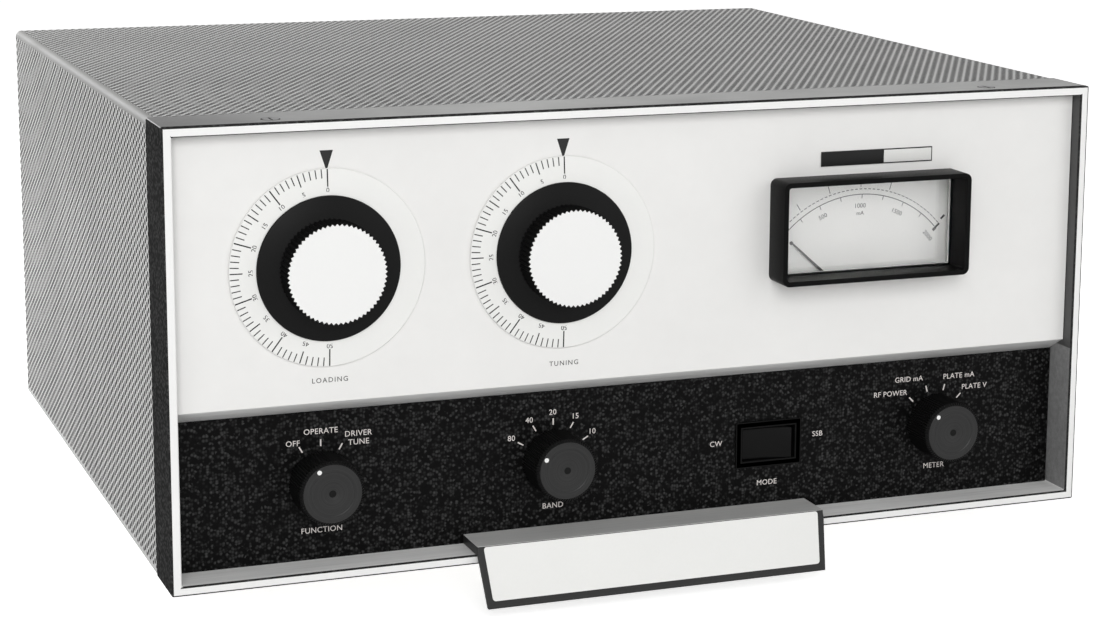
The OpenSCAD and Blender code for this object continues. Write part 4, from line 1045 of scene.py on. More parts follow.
@dataclass
class Cabinet:
    """Bezel, perforated cover, feet and the fixed front panels."""

    width: float = 406.0
    height: float = 186.0
    bezel_depth: float = 29.5
    lip: float = 4.0
    rib: float = 8.0
    rib_y: float = 21.0
    back: float = 354.0
    sheet: float = 1.2
    bend: float = 3.0
    plain: float = 3.05
    flange: float = 14.0
    flange_bend: float = 1.6
    hole_pitch: float = 3.68
    hole: float = 1.28
    foot: Point = (167.0, 22.0, 14.0)
    foot_rows: tuple[float, float] = (96.0, 320.0)
    screw_x: float = 158.0
    screw_y: float = 10.7
    strip_z: float = 69.0
    strip_low: Point = (-198.7, LIGHT_Y, 66.0)
    strip_high: Point = (198.7, 19.0, 72.0)
    dark_y: float = 2.4

    def build(self) -> None:
        """Builds the cabinet's outer pieces."""
        self.bezel()
        self.bends()
        self.feet()
        self.strip()
        self.rear_screws()

    def bezel(self) -> None:
        """The front frame: a block, its front drawn in to the panels and its middle opened."""
        half, frame_wide = self.width / 2, self.lip + self.rib
        piece = block("bezel_frame", (-half, 0.0, 0.0), (half, self.bezel_depth, self.height))
        with editing(piece):
            pick(piece, lambda p, n: n.y < -0.5)
            inset(self.lip)
            draw_out(0.0, self.rib_y, 0.0)
            inset(self.rib)
            bpy.ops.mesh.delete(type="FACE")
            pick(piece, lambda p, n: n.y > 0.5)
            inset(frame_wide)
            bpy.ops.mesh.delete(type="FACE")
        low, high = frame_wide - 0.01, self.height - frame_wide + 0.01
        with editing(piece, "EDGE"):
            pick(piece, lambda p, n: abs(p.x) < half - low and low < p.z < high, "edges")
            bpy.ops.mesh.bridge_edge_loops()
        mend(piece)
        for side in (-1, 1):
            bore = turned("bore", (side * self.screw_x, self.screw_y, self.height + 1.0), Axis.DOWN,
                          [(3.55, 0.0), (3.55, 2.6), (2.1, 2.6), (2.1, 7.0)], 32)
            cut_away(piece, bore)
        ease(piece, 0.7, 3, 50.0)
        with editing(piece, "EDGE"):
            # Cut where the inner walls' painted shade gives way to their lighter copy, and where the
            # top's dark front band ends.
            cut_line(at(0.0, 0.0, self.strip_z), (0.0, 0.0, 1.0))
            cut_line(at(0.0, self.dark_y, 0.0), (0.0, 1.0, 0.0))
        even(shade(piece))
        paint(piece, BEZEL_SIDE_SHADED, BEZEL_TOP, BEZEL_LIP, BEZEL_FLOOR_LIT, BEZEL_UPPER_WALL_SHADED, BEZEL_LOWER_WALL_LIGHTER,
              test=self._bezel_finish)
        fix(piece, BEZEL_SIDE_SHADED, "bezel")

    def _bezel_finish(self, place: Vector, normal: Vector) -> int:
        """Chooses a face's finish on the bezel.

        Args:
            place: The face's middle.
            normal: Its normal.

        Returns:
            0, a darker copy that paints shade, for the sides, the top's front edge and the seam
            inside the lip, which is a painted shadow, 1 for the rest of top and underside, 2 for
            the lip, 3, a lighter copy that paints light, for the floor, 4, painted shade, for the
            walls, 5, a lighter copy, for the walls beside the lower panel.
        """
        edge = 0.72
        inside = abs(place.x) < self.width / 2 - edge and edge < place.z < self.height - edge
        if not inside or place.y > self.bezel_depth - edge:
            return int(abs(normal.z) > 0.75 and place.y > self.dark_y)
        # Faces at the front: the lip, and its inner bevel, which takes the dark finish as a painted
        # shadow seam, except on the left, where it keeps the lip's colour.
        if place.y < edge:
            return 2 if normal.y < -0.98 or normal.x > 0.2 else 0
        # Inside: the floor lighter and the walls darker, painted light and shade on one aluminium; the
        # walls beside the lower panel are lighter than those above.
        if normal.z > 0.5 and place.z < self.height / 2:
            return 3
        return 5 if place.z < self.strip_z else 4

    def bends(self) -> None:
        """The cover's plain strips: the two bends along the top and the return flanges below."""
        for side, label in ((-1, "left"), (1, "right")):
            name = f"cover_bend_{label}"
            piece = self._fold(name, side, self.plain, self.height - self.plain, 1)
            piece.location.z = -0.02 * MM
            # The bends carry the darker copy of the cover's grey, as painted shade.
            fix(settle(piece, name), COVER_BEND_SHADED)
            fix(self._fold(f"cover_flange_{label}", side, self.flange, 0.0, -1), COVER_GREY)

    def _fold(self, name: str, side: int, reach: float, low: float, up: int) -> Piece:
        """Makes a strip of sheet that is folded along one of the cabinet's long edges.

        Args:
            name: The piece's name.
            side: -1 on the left, 1 on the right.
            reach: How far it goes inwards from the side.
            low: Where its upright part starts.
            up: 1 if the fold is at the upright part's upper end, -1 at its lower end.

        Returns:
            The new piece.
        """
        edge, inner, high = side * self.width / 2, side * (self.width / 2 - reach), low + self.plain
        fold, width, steps = (high, self.bend, 6) if up > 0 else (low, self.flange_bend, 4)
        piece = block(name, (min(edge, inner), self.bezel_depth, low),
                      (max(edge, inner), self.back, high))
        with editing(piece):
            pick(piece, lambda p, n: n.z * up < -0.5 or n.x * side < -0.5 or abs(n.y) > 0.5)
            bpy.ops.mesh.delete(type="FACE")
        with editing(piece, "EDGE"):
            pick(piece, lambda p, n: abs(p.x - edge) < 0.01 and abs(p.z - fold) < 0.01, "edges")
            round_off(width, steps)
        modify(piece, "SOLIDIFY", thickness=self.sheet * MM, offset=-1.0, use_even_offset=True)
        return shade(piece, 25.0)

    def cover(self) -> None:
        """The perforated sheets. They come last, because they are the heaviest meshes."""
        inner = self.width / 2 - self.plain
        low, high = self.plain, self.height - self.plain
        top = ((-inner, -inner / 3), (-inner / 3, inner / 3), (inner / 3, inner))
        sides = ((low, (low + high) / 2), ((low + high) / 2, high))
        nodes = ("cover",)
        for face, spans in (("top", top), ("left", sides), ("right", sides)):
            for number, span in enumerate(spans, 1):
                piece = self._perforated(f"cover_{face}_{number}", *span, face)
                fix(piece, COVER_GREY, *nodes)
                nodes = ()

    def _perforated(self, name: str, u0: float, u1: float, face: str) -> Piece:
        """Makes one flat sheet with staggered round holes.

        Args:
            name: The piece's name.
            u0: Start across the rows: X on the top, Z on a side.
            u1: End across the rows.
            face: top, left or right.

        Returns:
            The new piece.
        """
        y0, y1, pitch = self.bezel_depth, self.back, self.hole_pitch
        row = pitch * math.sqrt(3) / 2
        clear()
        bpy.ops.mesh.primitive_circle_add(vertices=8, radius=self.hole * MM, fill_type="NOTHING")
        piece = bpy.context.object
        bpy.ops.mesh.primitive_circle_add(vertices=6, radius=pitch / math.sqrt(3) * MM,
                                          fill_type="NOTHING")
        join(name, [piece, bpy.context.object])
        with editing(piece, "EDGE", True):
            bpy.ops.mesh.bridge_edge_loops()
            bpy.ops.mesh.select_all(action="SELECT")
            bpy.ops.mesh.quads_convert_to_tris()
        # One cell, then its neighbour in the next row, then both along the row and from row to row
        first = math.floor(u0 / pitch) - 1
        across = math.ceil(u1 / pitch) - first + 2
        rows = math.ceil((y1 - y0) / row / 2) + 1
        for count, x, y in ((2, pitch / 2, row), (across, pitch, 0.0), (rows, 0.0, 2 * row)):
            modify(piece, "ARRAY", count=count, use_relative_offset=False, use_constant_offset=True,
                   constant_offset_displace=(x * MM, y * MM, 0.0))
        piece.location = (first * pitch * MM, (y0 - 0.1 * pitch) * MM, 0.0)
        settle(piece, name)
        with editing(piece, "VERT", True):
            bpy.ops.mesh.remove_doubles(threshold=0.01 * MM)
            for place, normal in (((u0, 0, 0), (-1, 0, 0)), ((u1, 0, 0), (1, 0, 0)),
                                  ((0, y0, 0), (0, -1, 0)), ((0, y1, 0), (0, 1, 0))):
                cut_line(Vector(place) * MM, normal, clear_outer=True, use_fill=False)
            bpy.ops.mesh.select_all(action="SELECT")
            bpy.ops.mesh.normals_make_consistent(inside=False)
        if sum(face.normal.z for face in piece.data.polygons) < 0:
            with editing(piece, everything=True):
                bpy.ops.mesh.flip_normals()
        # The inside face and the hole walls take the near-black finish, as painted shade.
        paint(piece, COVER_GREY, COVER_HOLES_SHADE)
        modify(piece, "SOLIDIFY", thickness=self.sheet * MM, offset=-1.0, material_offset=1,
               material_offset_rim=1)
        if face == "top":
            piece.location = at(0.0, 0.0, self.height)
            return settle(piece, name)
        side = -1 if face == "left" else 1
        piece.rotation_euler = (0.0, math.radians(-90), 0.0)
        piece.scale = (1.0, 1.0, -side)
        piece.location = at(side * self.width / 2, 0.0, 0.0)
        settle(piece, name)
        return face_out(piece) if side > 0 else piece

    def feet(self) -> None:
        """Four rubber feet with a rolled lower edge and a recess for the screw."""
        x, high, wide = self.foot
        profile = [(4.0, 18.0), (4.0, 0.4), (4.6, 0.0), (wide - 3.4, 0.0), (wide - 2.4, 0.3),
                   (wide - 1.8, 1.0), (wide - 1.5, 2.0), (wide, high), (wide, high + 1.2),
                   (2.2, high + 1.2), (2.2, 18.0), (4.0, 18.0)]
        pieces = [turned("foot", (side * x, y, -high), Axis.UP, profile, 64, hollow=True)
                  for side in (-1, 1) for y in self.foot_rows]
        fix(join("rubber_feet", pieces), FOOT_RUBBER, "feet")

    def strip(self) -> None:
        """The bright sloping strip between the panels, with eased edges."""
        piece = block("panel_strip", self.strip_low, self.strip_high)
        with editing(piece, "EDGE"):
            pick(piece, lambda p, n: p.y < LIGHT_Y + 0.1 and p.z < self.strip_low[2] + 0.1, "edges")
            shift(0.0, BLACK_Y - LIGHT_Y, 0.0)
        fix(ease(piece, 0.35, 2, 30.0), BRIGHT_TRIM, "trim_strip")

    def rear_screws(self) -> None:
        """Round-headed screws along the rear panel's edge."""
        profile = [(3.4, -0.5), (3.4, 0.5), (3.0, 1.2), (2.0, 1.8), (0.8, 2.0)]
        pieces = []
        for x in (-190.0, -12.0, 118.0, 190.0):
            for z in (176.0, 12.0):
                head = turned("head", (x, REAR_Y, z), Axis.BACK, profile, 32)
                pieces.append(slotted(head, (x, z), (1.2, 3.0), 4.0, 0.4))
        fix(join("rear_screws", pieces), SCREW_STEEL)


# ------------------------------------------------------------------ dials and main knobs


@dataclass
class TuningDial:
    """A graduated dial with its fluted knob, and the pointer printed above it."""

    name: str
    body: Body
    x: float
    label_x: float
    label_z: float
    z: float = 126.5
    back_y: float = 6.1
    rim_y: float = 5.3
    hub_y: float = 4.6
    radius: float = 39.8
    flange: float = 29.2
    flange_t: float = 1.2
    grip: float = 20.4
    grip_l: float = 12.3
    flutes: int = 64
    flute_d: float = 0.9
    shaft: float = 3.3
    divisions: int = 50
    numbered: int = 5
    sweep: float = 180.0
    number_r: float = 31.3
    pointer: tuple[float, float, float] = (166.0, 173.3, 5.4)

    def build(self) -> None:
        """Builds the dial, its printing, the knob and the panel's printing."""
        self.dial()
        self.graduations()
        self.knob()
        self.panel_printing()

    def _face_y(self, radius: float) -> float:
        """Returns the place of the dial's coned face at a radius."""
        share = (radius - self.flange) / (self.radius - self.flange)
        return self.hub_y + (self.rim_y - self.hub_y) * share

    def dial(self) -> None:
        """The light disc, thin at its rim."""
        deep, hub = self.back_y - self.rim_y, self.back_y - self.hub_y
        profile = [(6.0, 0.0), (self.radius - 0.2, 0.0), (self.radius, 0.2), (self.radius, deep - 0.2),
                   (self.radius - 0.25, deep + 0.02), (self.flange, hub), (6.0, hub), (6.0, 0.0)]
        piece = turned(f"{self.name}_dial_disc", (self.x, self.back_y, self.z), Axis.FRONT, profile,
                       160, hollow=True)
        fit(piece, self.body, DIAL_LIGHT, f"{self.name}_dial")

    def graduations(self) -> None:
        """Lines and numbers over the dial's left half: fifty divisions, numbered in fives."""
        centre = (self.x, self.z)
        outer = self.radius - 0.25
        fives = self.divisions // self.numbered
        groups = ((self.divisions, 36.0, 0.40), (fives, 34.5, 0.45), (fives // 2, 32.6, 0.50))
        pieces = []
        for count, inner, width in groups:
            tick = line(polar(centre, inner, 0.0), polar(centre, outer, 0.0), width,
                        self._face_y(inner) - 0.01, y_end=self._face_y(outer) - 0.01)
            pieces.append(spun(tick, centre, -self.sweep, count))
        for number in range(fives + 1):
            turn = -self.sweep * number / fives
            pieces.append(lettered(str(number * self.numbered), polar(centre, self.number_r, turn),
                                   self._face_y(self.number_r), 1.9, -turn, 1.0))
        fit(join(f"{self.name}_dial_marks", pieces), self.body, DIAL_INK)

    def knob(self) -> None:
        """Black flange and fluted grip, with a white cap of the same outline."""
        wide, front_y = self.flange, self.hub_y - self.flange_t
        skirt = turned(f"{self.name}_knob_skirt", (self.x, self.hub_y, self.z), Axis.FRONT,
                       [(6.0, -1.4), (6.0, 0.0), (wide, 0.0), (wide, 0.7), (wide - 0.15, 1.0),
                        (wide - 0.5, 1.2), (self.grip + 1.6, 1.25), (self.grip + 0.2, 1.8),
                        (self.shaft, 1.8), (self.shaft, -1.4), (6.0, -1.4)], 128, hollow=True)
        fit(skirt, self.body, KNOB_BLACK, f"{self.name}_knob")
        length = self.grip_l - 0.35
        grip = fluted(f"{self.name}_knob_grip", (self.x, front_y + 0.2, self.z), Axis.FRONT,
                      self.grip, self.flutes, self.flute_d, length + 0.2, 0.25)
        fit(grip, self.body, KNOB_BLACK)
        cap = fluted(f"{self.name}_knob_cap", (self.x, front_y - length + 0.05, self.z), Axis.FRONT,
                     self.grip - 0.35, self.flutes, self.flute_d, 0.4, 0.15)
        fit(cap, self.body, KNOB_WHITE)

    def panel_printing(self) -> None:
        """The black pointer above the dial and the word below it, printed on the upper panel."""
        tip, top, width = self.pointer
        pointer = line((self.x, tip), (self.x, top), width, LIGHT_Y)
        with editing(pointer, "VERT"):
            pick(pointer, lambda p, n: p.z < (tip + top) / 2, "verts")
            narrow(0.12, self.x, LIGHT_Y, tip)
        word = lettered(self.name.upper(), (self.label_x, self.label_z), LIGHT_Y, 2.0, 0.0, 1.25)
        fix(join(f"{self.name}_printing", [pointer, word]), DIAL_INK)


# ------------------------------------------------------------------ small knobs and legends


@dataclass
class SmallKnob:
    """A knurled knob with a turned face and a white dot at its rim."""

    name: str
    body: Body
    x: float
    dot_turn: float
    ticks: tuple[float, ...]
    words: tuple[tuple[str, float, float], ...]
    z: float = 36.0
    radius: float = 13.5
    front_y: float = -1.0
    back_y: float = 16.6
    ridges: int = 72

    def build(self) -> None:
        """Builds the knob and its legend."""
        finish = Finish("knob_black", grey(0.022), (0.26, 0.52), 0.1, Effect.TURNED, 2200.0, 2.6, 0.03,
                        0.1, gloss=0.2, middle=(self.x, 0.0, self.z), name=f"{self.name}_knob_face")
        grip = fluted(f"{self.name}_knob_grip", (self.x, self.back_y, self.z), Axis.FRONT,
                      self.radius, self.ridges, 0.55, self.back_y - self.front_y - 0.3, 0.9)
        bore = turned("bore", (self.x, self.back_y + 1.0, self.z), Axis.FRONT,
                      [(3.3, 0.0), (3.3, 6.0)], 32)
        fit(shade(cut_away(grip, bore), 20.0), self.body, KNOB_BLACK, f"{self.name}_knob")
        wide = self.radius - 1.5
        disc = turned(f"{self.name}_knob_face", (self.x, self.front_y + 0.5, self.z), Axis.FRONT,
                      [(wide, 0.0), (wide, 0.35), (wide - 0.2, 0.5), (wide - 2.6, 0.5),
                       (wide - 3.0, 0.25), (1.6, 0.25), (1.3, 0.1), (0.0, 0.1)], 96)
        fit(disc, self.body, finish)
        x, z = polar((self.x, self.z), wide - 1.3, self.dot_turn)
        dot = turned(f"{self.name}_knob_dot", (x, self.front_y + 0.3, z), Axis.FRONT,
                     [(0.95, 0.0), (0.95, 0.32), (0.8, 0.36)], 24)
        fit(dot, self.body, KNOB_WHITE)
        self.legend()

    def legend(self) -> None:
        """Ticks and words round the knob, printed on the black panel."""
        centre = (self.x, self.z)
        pieces = [line(polar(centre, 15.2, turn), polar(centre, 18.0, turn), 0.55, BLACK_Y)
                  for turn in self.ticks]
        pieces += [lettered(text, (x, z), BLACK_Y, 2.3) for text, x, z in self.words]
        fix(join(f"{self.name}_legend", pieces), PANEL_INK)


@dataclass
class ModeRocker:
    """The black rocker, its frame and the words beside it."""

    x: float = 60.0
    z: float = 34.5
    pivot_y: float = 22.0
    width: float = 24.0
    height: float = 13.6
    tilt: float = 8.0
    collar: tuple[float, float] = (30.6, 20.2)

    def build(self) -> None:
        """Builds the rocker and its surroundings."""
        reach, half = self.width / 2 - 0.8, self.height / 2
        front_y, back_y = self.pivot_y - 6.4, self.pivot_y - 1.0
        piece = block("rocker_paddle", (self.x - reach, front_y, self.z - half),
                      (self.x + reach, back_y, self.z + half))
        with editing(piece, "EDGE"):
            cut_line(at(self.x, 0.0, 0.0), (1.0, 0.0, 0.0))
            pick(piece, lambda p, n: abs(p.x - self.x) < 0.01 and p.y < front_y + 0.4, "verts")
            shift(0.0, 1.3, 0.0)
        with editing(piece):
            pick(piece, lambda p, n: n.y > 0.5)
            narrow(0.32, self.x, 0.0, self.z)
            shift(0.0, 4.4, 0.0)
        ease(piece, 0.5, 3, 25.0)
        pin = turned("rocker_pin", (self.x, self.pivot_y, self.z - half - 1.4), Axis.UP,
                     [(1.5, 0.0), (1.5, self.height + 2.8)], 32)
        whole = join("rocker_paddle", [piece, pin])
        with editing(whole, everything=True):
            bpy.ops.transform.rotate(value=math.radians(self.tilt), orient_axis="Z",
                                     center_override=at(self.x, self.pivot_y, self.z))
        fit(whole, Body.ROCKER, ROCKER_BLACK, "mode_rocker")
        self.frame()
        self.legend()

    def frame(self) -> None:
        """The collar round the rocker, in front of the panel."""
        w, h = self.collar[0] / 2, self.collar[1] / 2
        piece = tube("rocker_collar", (self.x - w, BLACK_Y - 1.2, self.z - h),
                     (self.x + w, BLACK_Y, self.z + h), 2.6)
        fix(ease(piece, 0.4, 3, 40.0), ROCKER_BLACK)

    def legend(self) -> None:
        """CW, SSB and MODE, printed on the black panel."""
        words = (("CW", 35.8, 36.1), ("SSB", 83.8, 36.5), ("MODE", 60.0, 17.0))
        pieces = [lettered(text, (x, z), BLACK_Y, 2.3) for text, x, z in words]
        fix(join("mode_legend", pieces), PANEL_INK)


# ------------------------------------------------------------------ the meter


@dataclass
class Meter:
    """The meter's hood, scale printing and badge."""

    x: float = 98.15
    z: float = 130.0
    width: float = 87.7
    height: float = 44.0
    front_y: float = -8.0
    wall: float = 2.1
    corner: float = 3.0
    pivot_z: float = 94.1
    scale_y: float = 10.3
    start: float = -48.0
    numbers_r: float = 43.4
    badge_x: tuple[float, float, float] = (77.45, 106.9, 130.05)
    badge_z: tuple[float, float] = (155.8, 162.1)

    def build(self) -> None:
        """Builds the meter's pieces."""
        self.hood()
        self.printing()
        self.badge()

    def hood(self) -> None:
        """A square tube with round corners and an eased front edge."""
        w, h = self.width / 2, self.height / 2
        piece = tube("meter_shroud", (self.x - w, self.front_y, self.z - h),
                     (self.x + w, LIGHT_Y, self.z + h), self.wall)
        inner = w - self.wall

        def outer_corner(a: Vector, b: Vector) -> bool:
            """Tells whether an edge runs back along an outer corner."""
            return abs(a.y - b.y) > 1.0 and abs(a.x - self.x) > inner + 0.5

        def inner_corner(a: Vector, b: Vector) -> bool:
            """Tells whether an edge runs back along an inner corner."""
            inside = all(abs(abs(end.x - self.x) - inner) < 0.01 for end in (a, b))
            return abs(a.y - b.y) > 1.0 and inside

        for test, width, steps in ((outer_corner, self.corner, 6), (inner_corner, 1.2, 4)):
            with editing(piece, "EDGE"):
                pick_runs(piece, test)
                round_off(width, steps)
        fix(ease(piece, 0.5, 3, 50.0), HOOD_BLACK, "meter_hood")

    def printing(self) -> None:
        """Arcs, ticks and numbers on the scale plate."""
        pivot, y, start = (self.x, self.pivot_z), self.scale_y, self.start
        slant = math.radians(start)
        across = Vector((math.cos(slant), 0.0, -math.sin(slant)))
        bar = line(polar(pivot, 48.13, start), polar(pivot, 48.47, start), 0.05, y)
        dash = line(polar(pivot, 50.6, start), polar(pivot, 50.6, start + 1.4), 0.34, y)
        tick = line(polar(pivot, 46.5, start), polar(pivot, 48.4, start), 0.3, y)
        pieces = [spun(bar, pivot, 96.0, 64, lambda p, n: n.dot(across) > 0.9),
                  spun(dash, pivot, 94.6, 40), spun(tick, pivot, 97.6, 8)]
        marks = [(51.4, 54.6, turn, 0.3) for turn in (-33.4, -16.4, 0.0, 15.5)]
        marks += [(46.6, 50.8, 48.8, 0.9), (52.6, 55.0, 47.7, 0.9)]
        pieces += [line(polar(pivot, inner, turn), polar(pivot, outer, turn), width, y)
                   for inner, outer, turn, width in marks]
        far = self.numbers_r
        for text, radius, turn, high in (("500", far, -24.0, 1.9), ("1000", far, 0.0, 1.9),
                                         ("mA", far - 3.2, 0.0, 1.7), ("1500", far, 24.0, 1.9),
                                         ("2000", far, 49.0, 1.9)):
            pieces.append(lettered(text, polar(pivot, radius, turn), y, high, -turn, 1.02))
        dot_x, dot_z = polar(pivot, far, start)
        pieces.append(turned("stop", (dot_x, y, dot_z), Axis.FRONT, [(0.8, 0.0), (0.8, 0.05)], 20))
        fix(join("meter_printing", pieces), SCALE_INK)

    def badge(self) -> None:
        """The bare two-tone plate above the meter: a dark left part, and a light right one in a rim."""
        (x0, split, x1), (z0, z1) = self.badge_x, self.badge_z
        for name, left, right, front, inner, rounding, finish, nodes in (
            ("badge_left", x0, split, 0.6, 0.0, 0.15, BADGE_DARK, ("badge",)),
            ("badge_right", split, x1 - 0.4, 0.55, 0.4, 0.15, BADGE_LIGHT, ()),
            ("badge_rim", split - 0.01, x1, 0.52, 0.0, 0.12, BADGE_DARK, ()),
        ):
            piece = block(name, (left, LIGHT_Y - front, z0 + inner), (right, LIGHT_Y, z1 - inner))
            fix(ease(piece, rounding, 2, 40.0), finish, *nodes)


# ------------------------------------------------------------------ the nameplate


@dataclass
class Nameplate:
    """The bare plate that hangs over the bezel's lower lip."""

    half: float = 78.0
    taper: float = 2.0
    ledge: tuple[float, float] = (4.0, 8.0)
    back_y: float = 16.8
    front_y: float = -2.0
    fold_y: float = -0.2
    lean: float = 8.2
    drop: float = 24.5
    margin: float = 2.6

    def build(self) -> None:
        """Builds the bent plate, and the light face on it."""
        low, high = self.ledge
        slope = self.lean / self.drop
        body = block("nameplate_body", (-self.half, self.front_y, low), (self.half, self.back_y, high))
        reach = self.drop - (high - low)
        with editing(body):
            cut_line(at(0.0, self.fold_y, 0.0), (0.0, 1.0, 0.0))
            pick(body, lambda p, n: n.z < -0.5 and p.y < self.fold_y)
            draw_out(0.0, -slope * reach, -reach)
            narrow((self.half - self.taper) / self.half, 0.0, 0.0, 0.0)
        with editing(body, "VERT"):
            pick(body, lambda p, n: abs(p.z - low) < 0.01 and p.y < self.fold_y + 0.1, "verts")
            shift(0.0, -slope * (high - low), 0.0)
            pick(body, lambda p, n: p.z < low - 5.0, "verts")
            shift(0.0, -slope * (high - low), 0.0)
        even(ease(body, 0.35, 3, 30.0))
        paint(body, NAMEPLATE_EDGE, NAMEPLATE_LEDGE,
              test=lambda p, n: int(p.z > high - 0.5 and n.z > 0.7))
        fix(body, NAMEPLATE_EDGE, "nameplate")
        self.face(slope)

    def face(self, slope: float) -> None:
        """The light face, with a dark margin left of it, right of it and below it.

        Args:
            slope: How far the plate leans forward for each millimetre down.
        """
        half = self.half - self.margin
        top, bottom = self.ledge[1] - 0.4, self.ledge[1] - self.drop + 3.0
        piece = block("nameplate_face", (-half, -0.05, bottom), (half, 0.35, top))
        with editing(piece, "VERT"):
            pick(piece, lambda p, n: p.z < bottom + 0.1, "verts")
            shift(0.0, -slope * (top - bottom), 0.0)
            narrow((half - self.taper * 0.9) / half, 0.0, 0.0, 0.0)
            bpy.ops.mesh.select_all(action="SELECT")
            shift(0.0, self.front_y - slope * (self.ledge[1] - top) - 0.05, 0.0)
        with editing(piece, "EDGE"):
            pick_runs(piece, lambda a, b: abs(a.y - b.y) > 0.3 and abs(a.z - b.z) < 0.1)
            round_off(1.2, 4)
        fix(even(ease(piece, 0.1, 2, 50.0)), NAMEPLATE_FACE)


# ------------------------------------------------------------------ inside and rear


@dataclass
class Interior:
    """Tubes and coil, which show through the cover's holes."""

    tube_x: tuple[float, float] = (-155.0, -83.0)
    tube_y: float = 254.0
    deck_z: float = 70.0
    coil: Point = (-87.65, 161.0, 124.0)
    coil_r: float = 29.0
    coil_pitch: float = 8.5
    coil_turns: float = 9.5
    coil_steps: int = 24
    wire: float = 2.5
    leg: float = 40.0

    def build(self) -> None:
        """Builds the tubes and the coil."""
        self.tubes()
        self.tank_coil()

    def tubes(self) -> None:
        """Glass envelopes over a base, with a finned graphite anode inside."""
        outline = [(19.0, 22.0)]
        outline += [(19.0 + 9.0 * math.sin(a), 22.0 + 12.0 * (1 - math.cos(a)))
                    for a in map(math.radians, (20, 40, 60, 80))]
        outline += [(28.0, 34.0), (28.0, 72.0)]
        outline += [(7.0 + 21.0 * math.cos(a), 72.0 + 12.0 * math.sin(a))
                    for a in map(math.radians, (15, 30, 45, 60, 75))]
        outline += [(7.0, 84.0), (7.0, 84.6)]
        inner = [(max(r - 1.2, 1.0), h) for r, h in outline[1:]]
        shell = outline + [(5.8, 84.6)] + inner[::-1] + [(17.8, 22.0), outline[0]]
        base = [(17.6, 2.0), (18.6, 2.6), (19.0, 3.4), (19.0, 22.4), (18.0, 22.4), (18.0, 20.0),
                (0.0, 20.0)]
        cap = [(7.2, 83.6), (7.2, 91.6), (6.6, 92.0), (0.0, 92.0)]
        stem = [(9.0, 20.1), (8.0, 30.0), (3.0, 33.0), (3.0, 83.8)]
        glass, cores, bases = [], [], []
        for x in self.tube_x:
            spot = (x, self.tube_y, self.deck_z)
            glass.append(turned("bulb", spot, Axis.UP, shell, 64, hollow=True))
            bases.append(turned("base", spot, Axis.UP, base, 64))
            bases.append(turned("cap", spot, Axis.UP, cap, 32))
            cores.append(fluted("anode", (x, self.tube_y, self.deck_z + 34.0), Axis.UP, 15.0, 16, 2.2,
                                40.0, 1.0))
            cores.append(turned("stem", spot, Axis.UP, stem, 32))
        fix(join("tube_bulbs", glass), TUBE_GLASS, "power_tubes")
        fix(join("tube_bases", bases), TUBE_BASE)
        fix(join("tube_anodes", cores), TUBE_INNER)

    def tank_coil(self) -> None:
        """One unbroken silvered tube, wound in even turns with a straight leg at each end."""
        x, y, z = self.coil
        start = x - self.coil_pitch * self.coil_turns / 2
        points = []
        for i in range(int(self.coil_turns * self.coil_steps) + 1):
            share = i / self.coil_steps
            points.append((start + self.coil_pitch * share,
                           y + self.coil_r * math.cos(2 * math.pi * share),
                           z + self.coil_r * math.sin(2 * math.pi * share)))
        legs = [(p[0], p[1], p[2] - self.leg) for p in (points[0], points[-1])]
        points = [legs[0], *points, legs[1]]
        curve = bpy.data.curves.new("tank_coil_tube", "CURVE")
        curve.dimensions = "3D"
        curve.bevel_depth = self.wire * MM
        curve.bevel_resolution = 3
        curve.use_fill_caps = True
        spline = curve.splines.new("POLY")
        spline.points.add(len(points) - 1)
        for spot, point in zip(points, spline.points):
            point.co = (*at(*spot), 1.0)
        piece = bpy.data.objects.new("tank_coil_tube", curve)
        bpy.context.scene.collection.objects.link(piece)
        take(piece)
        bpy.ops.object.convert(target="MESH")
        fix(shade(mend(bpy.context.object), 50.0), COIL_SILVER, "tank_coil")


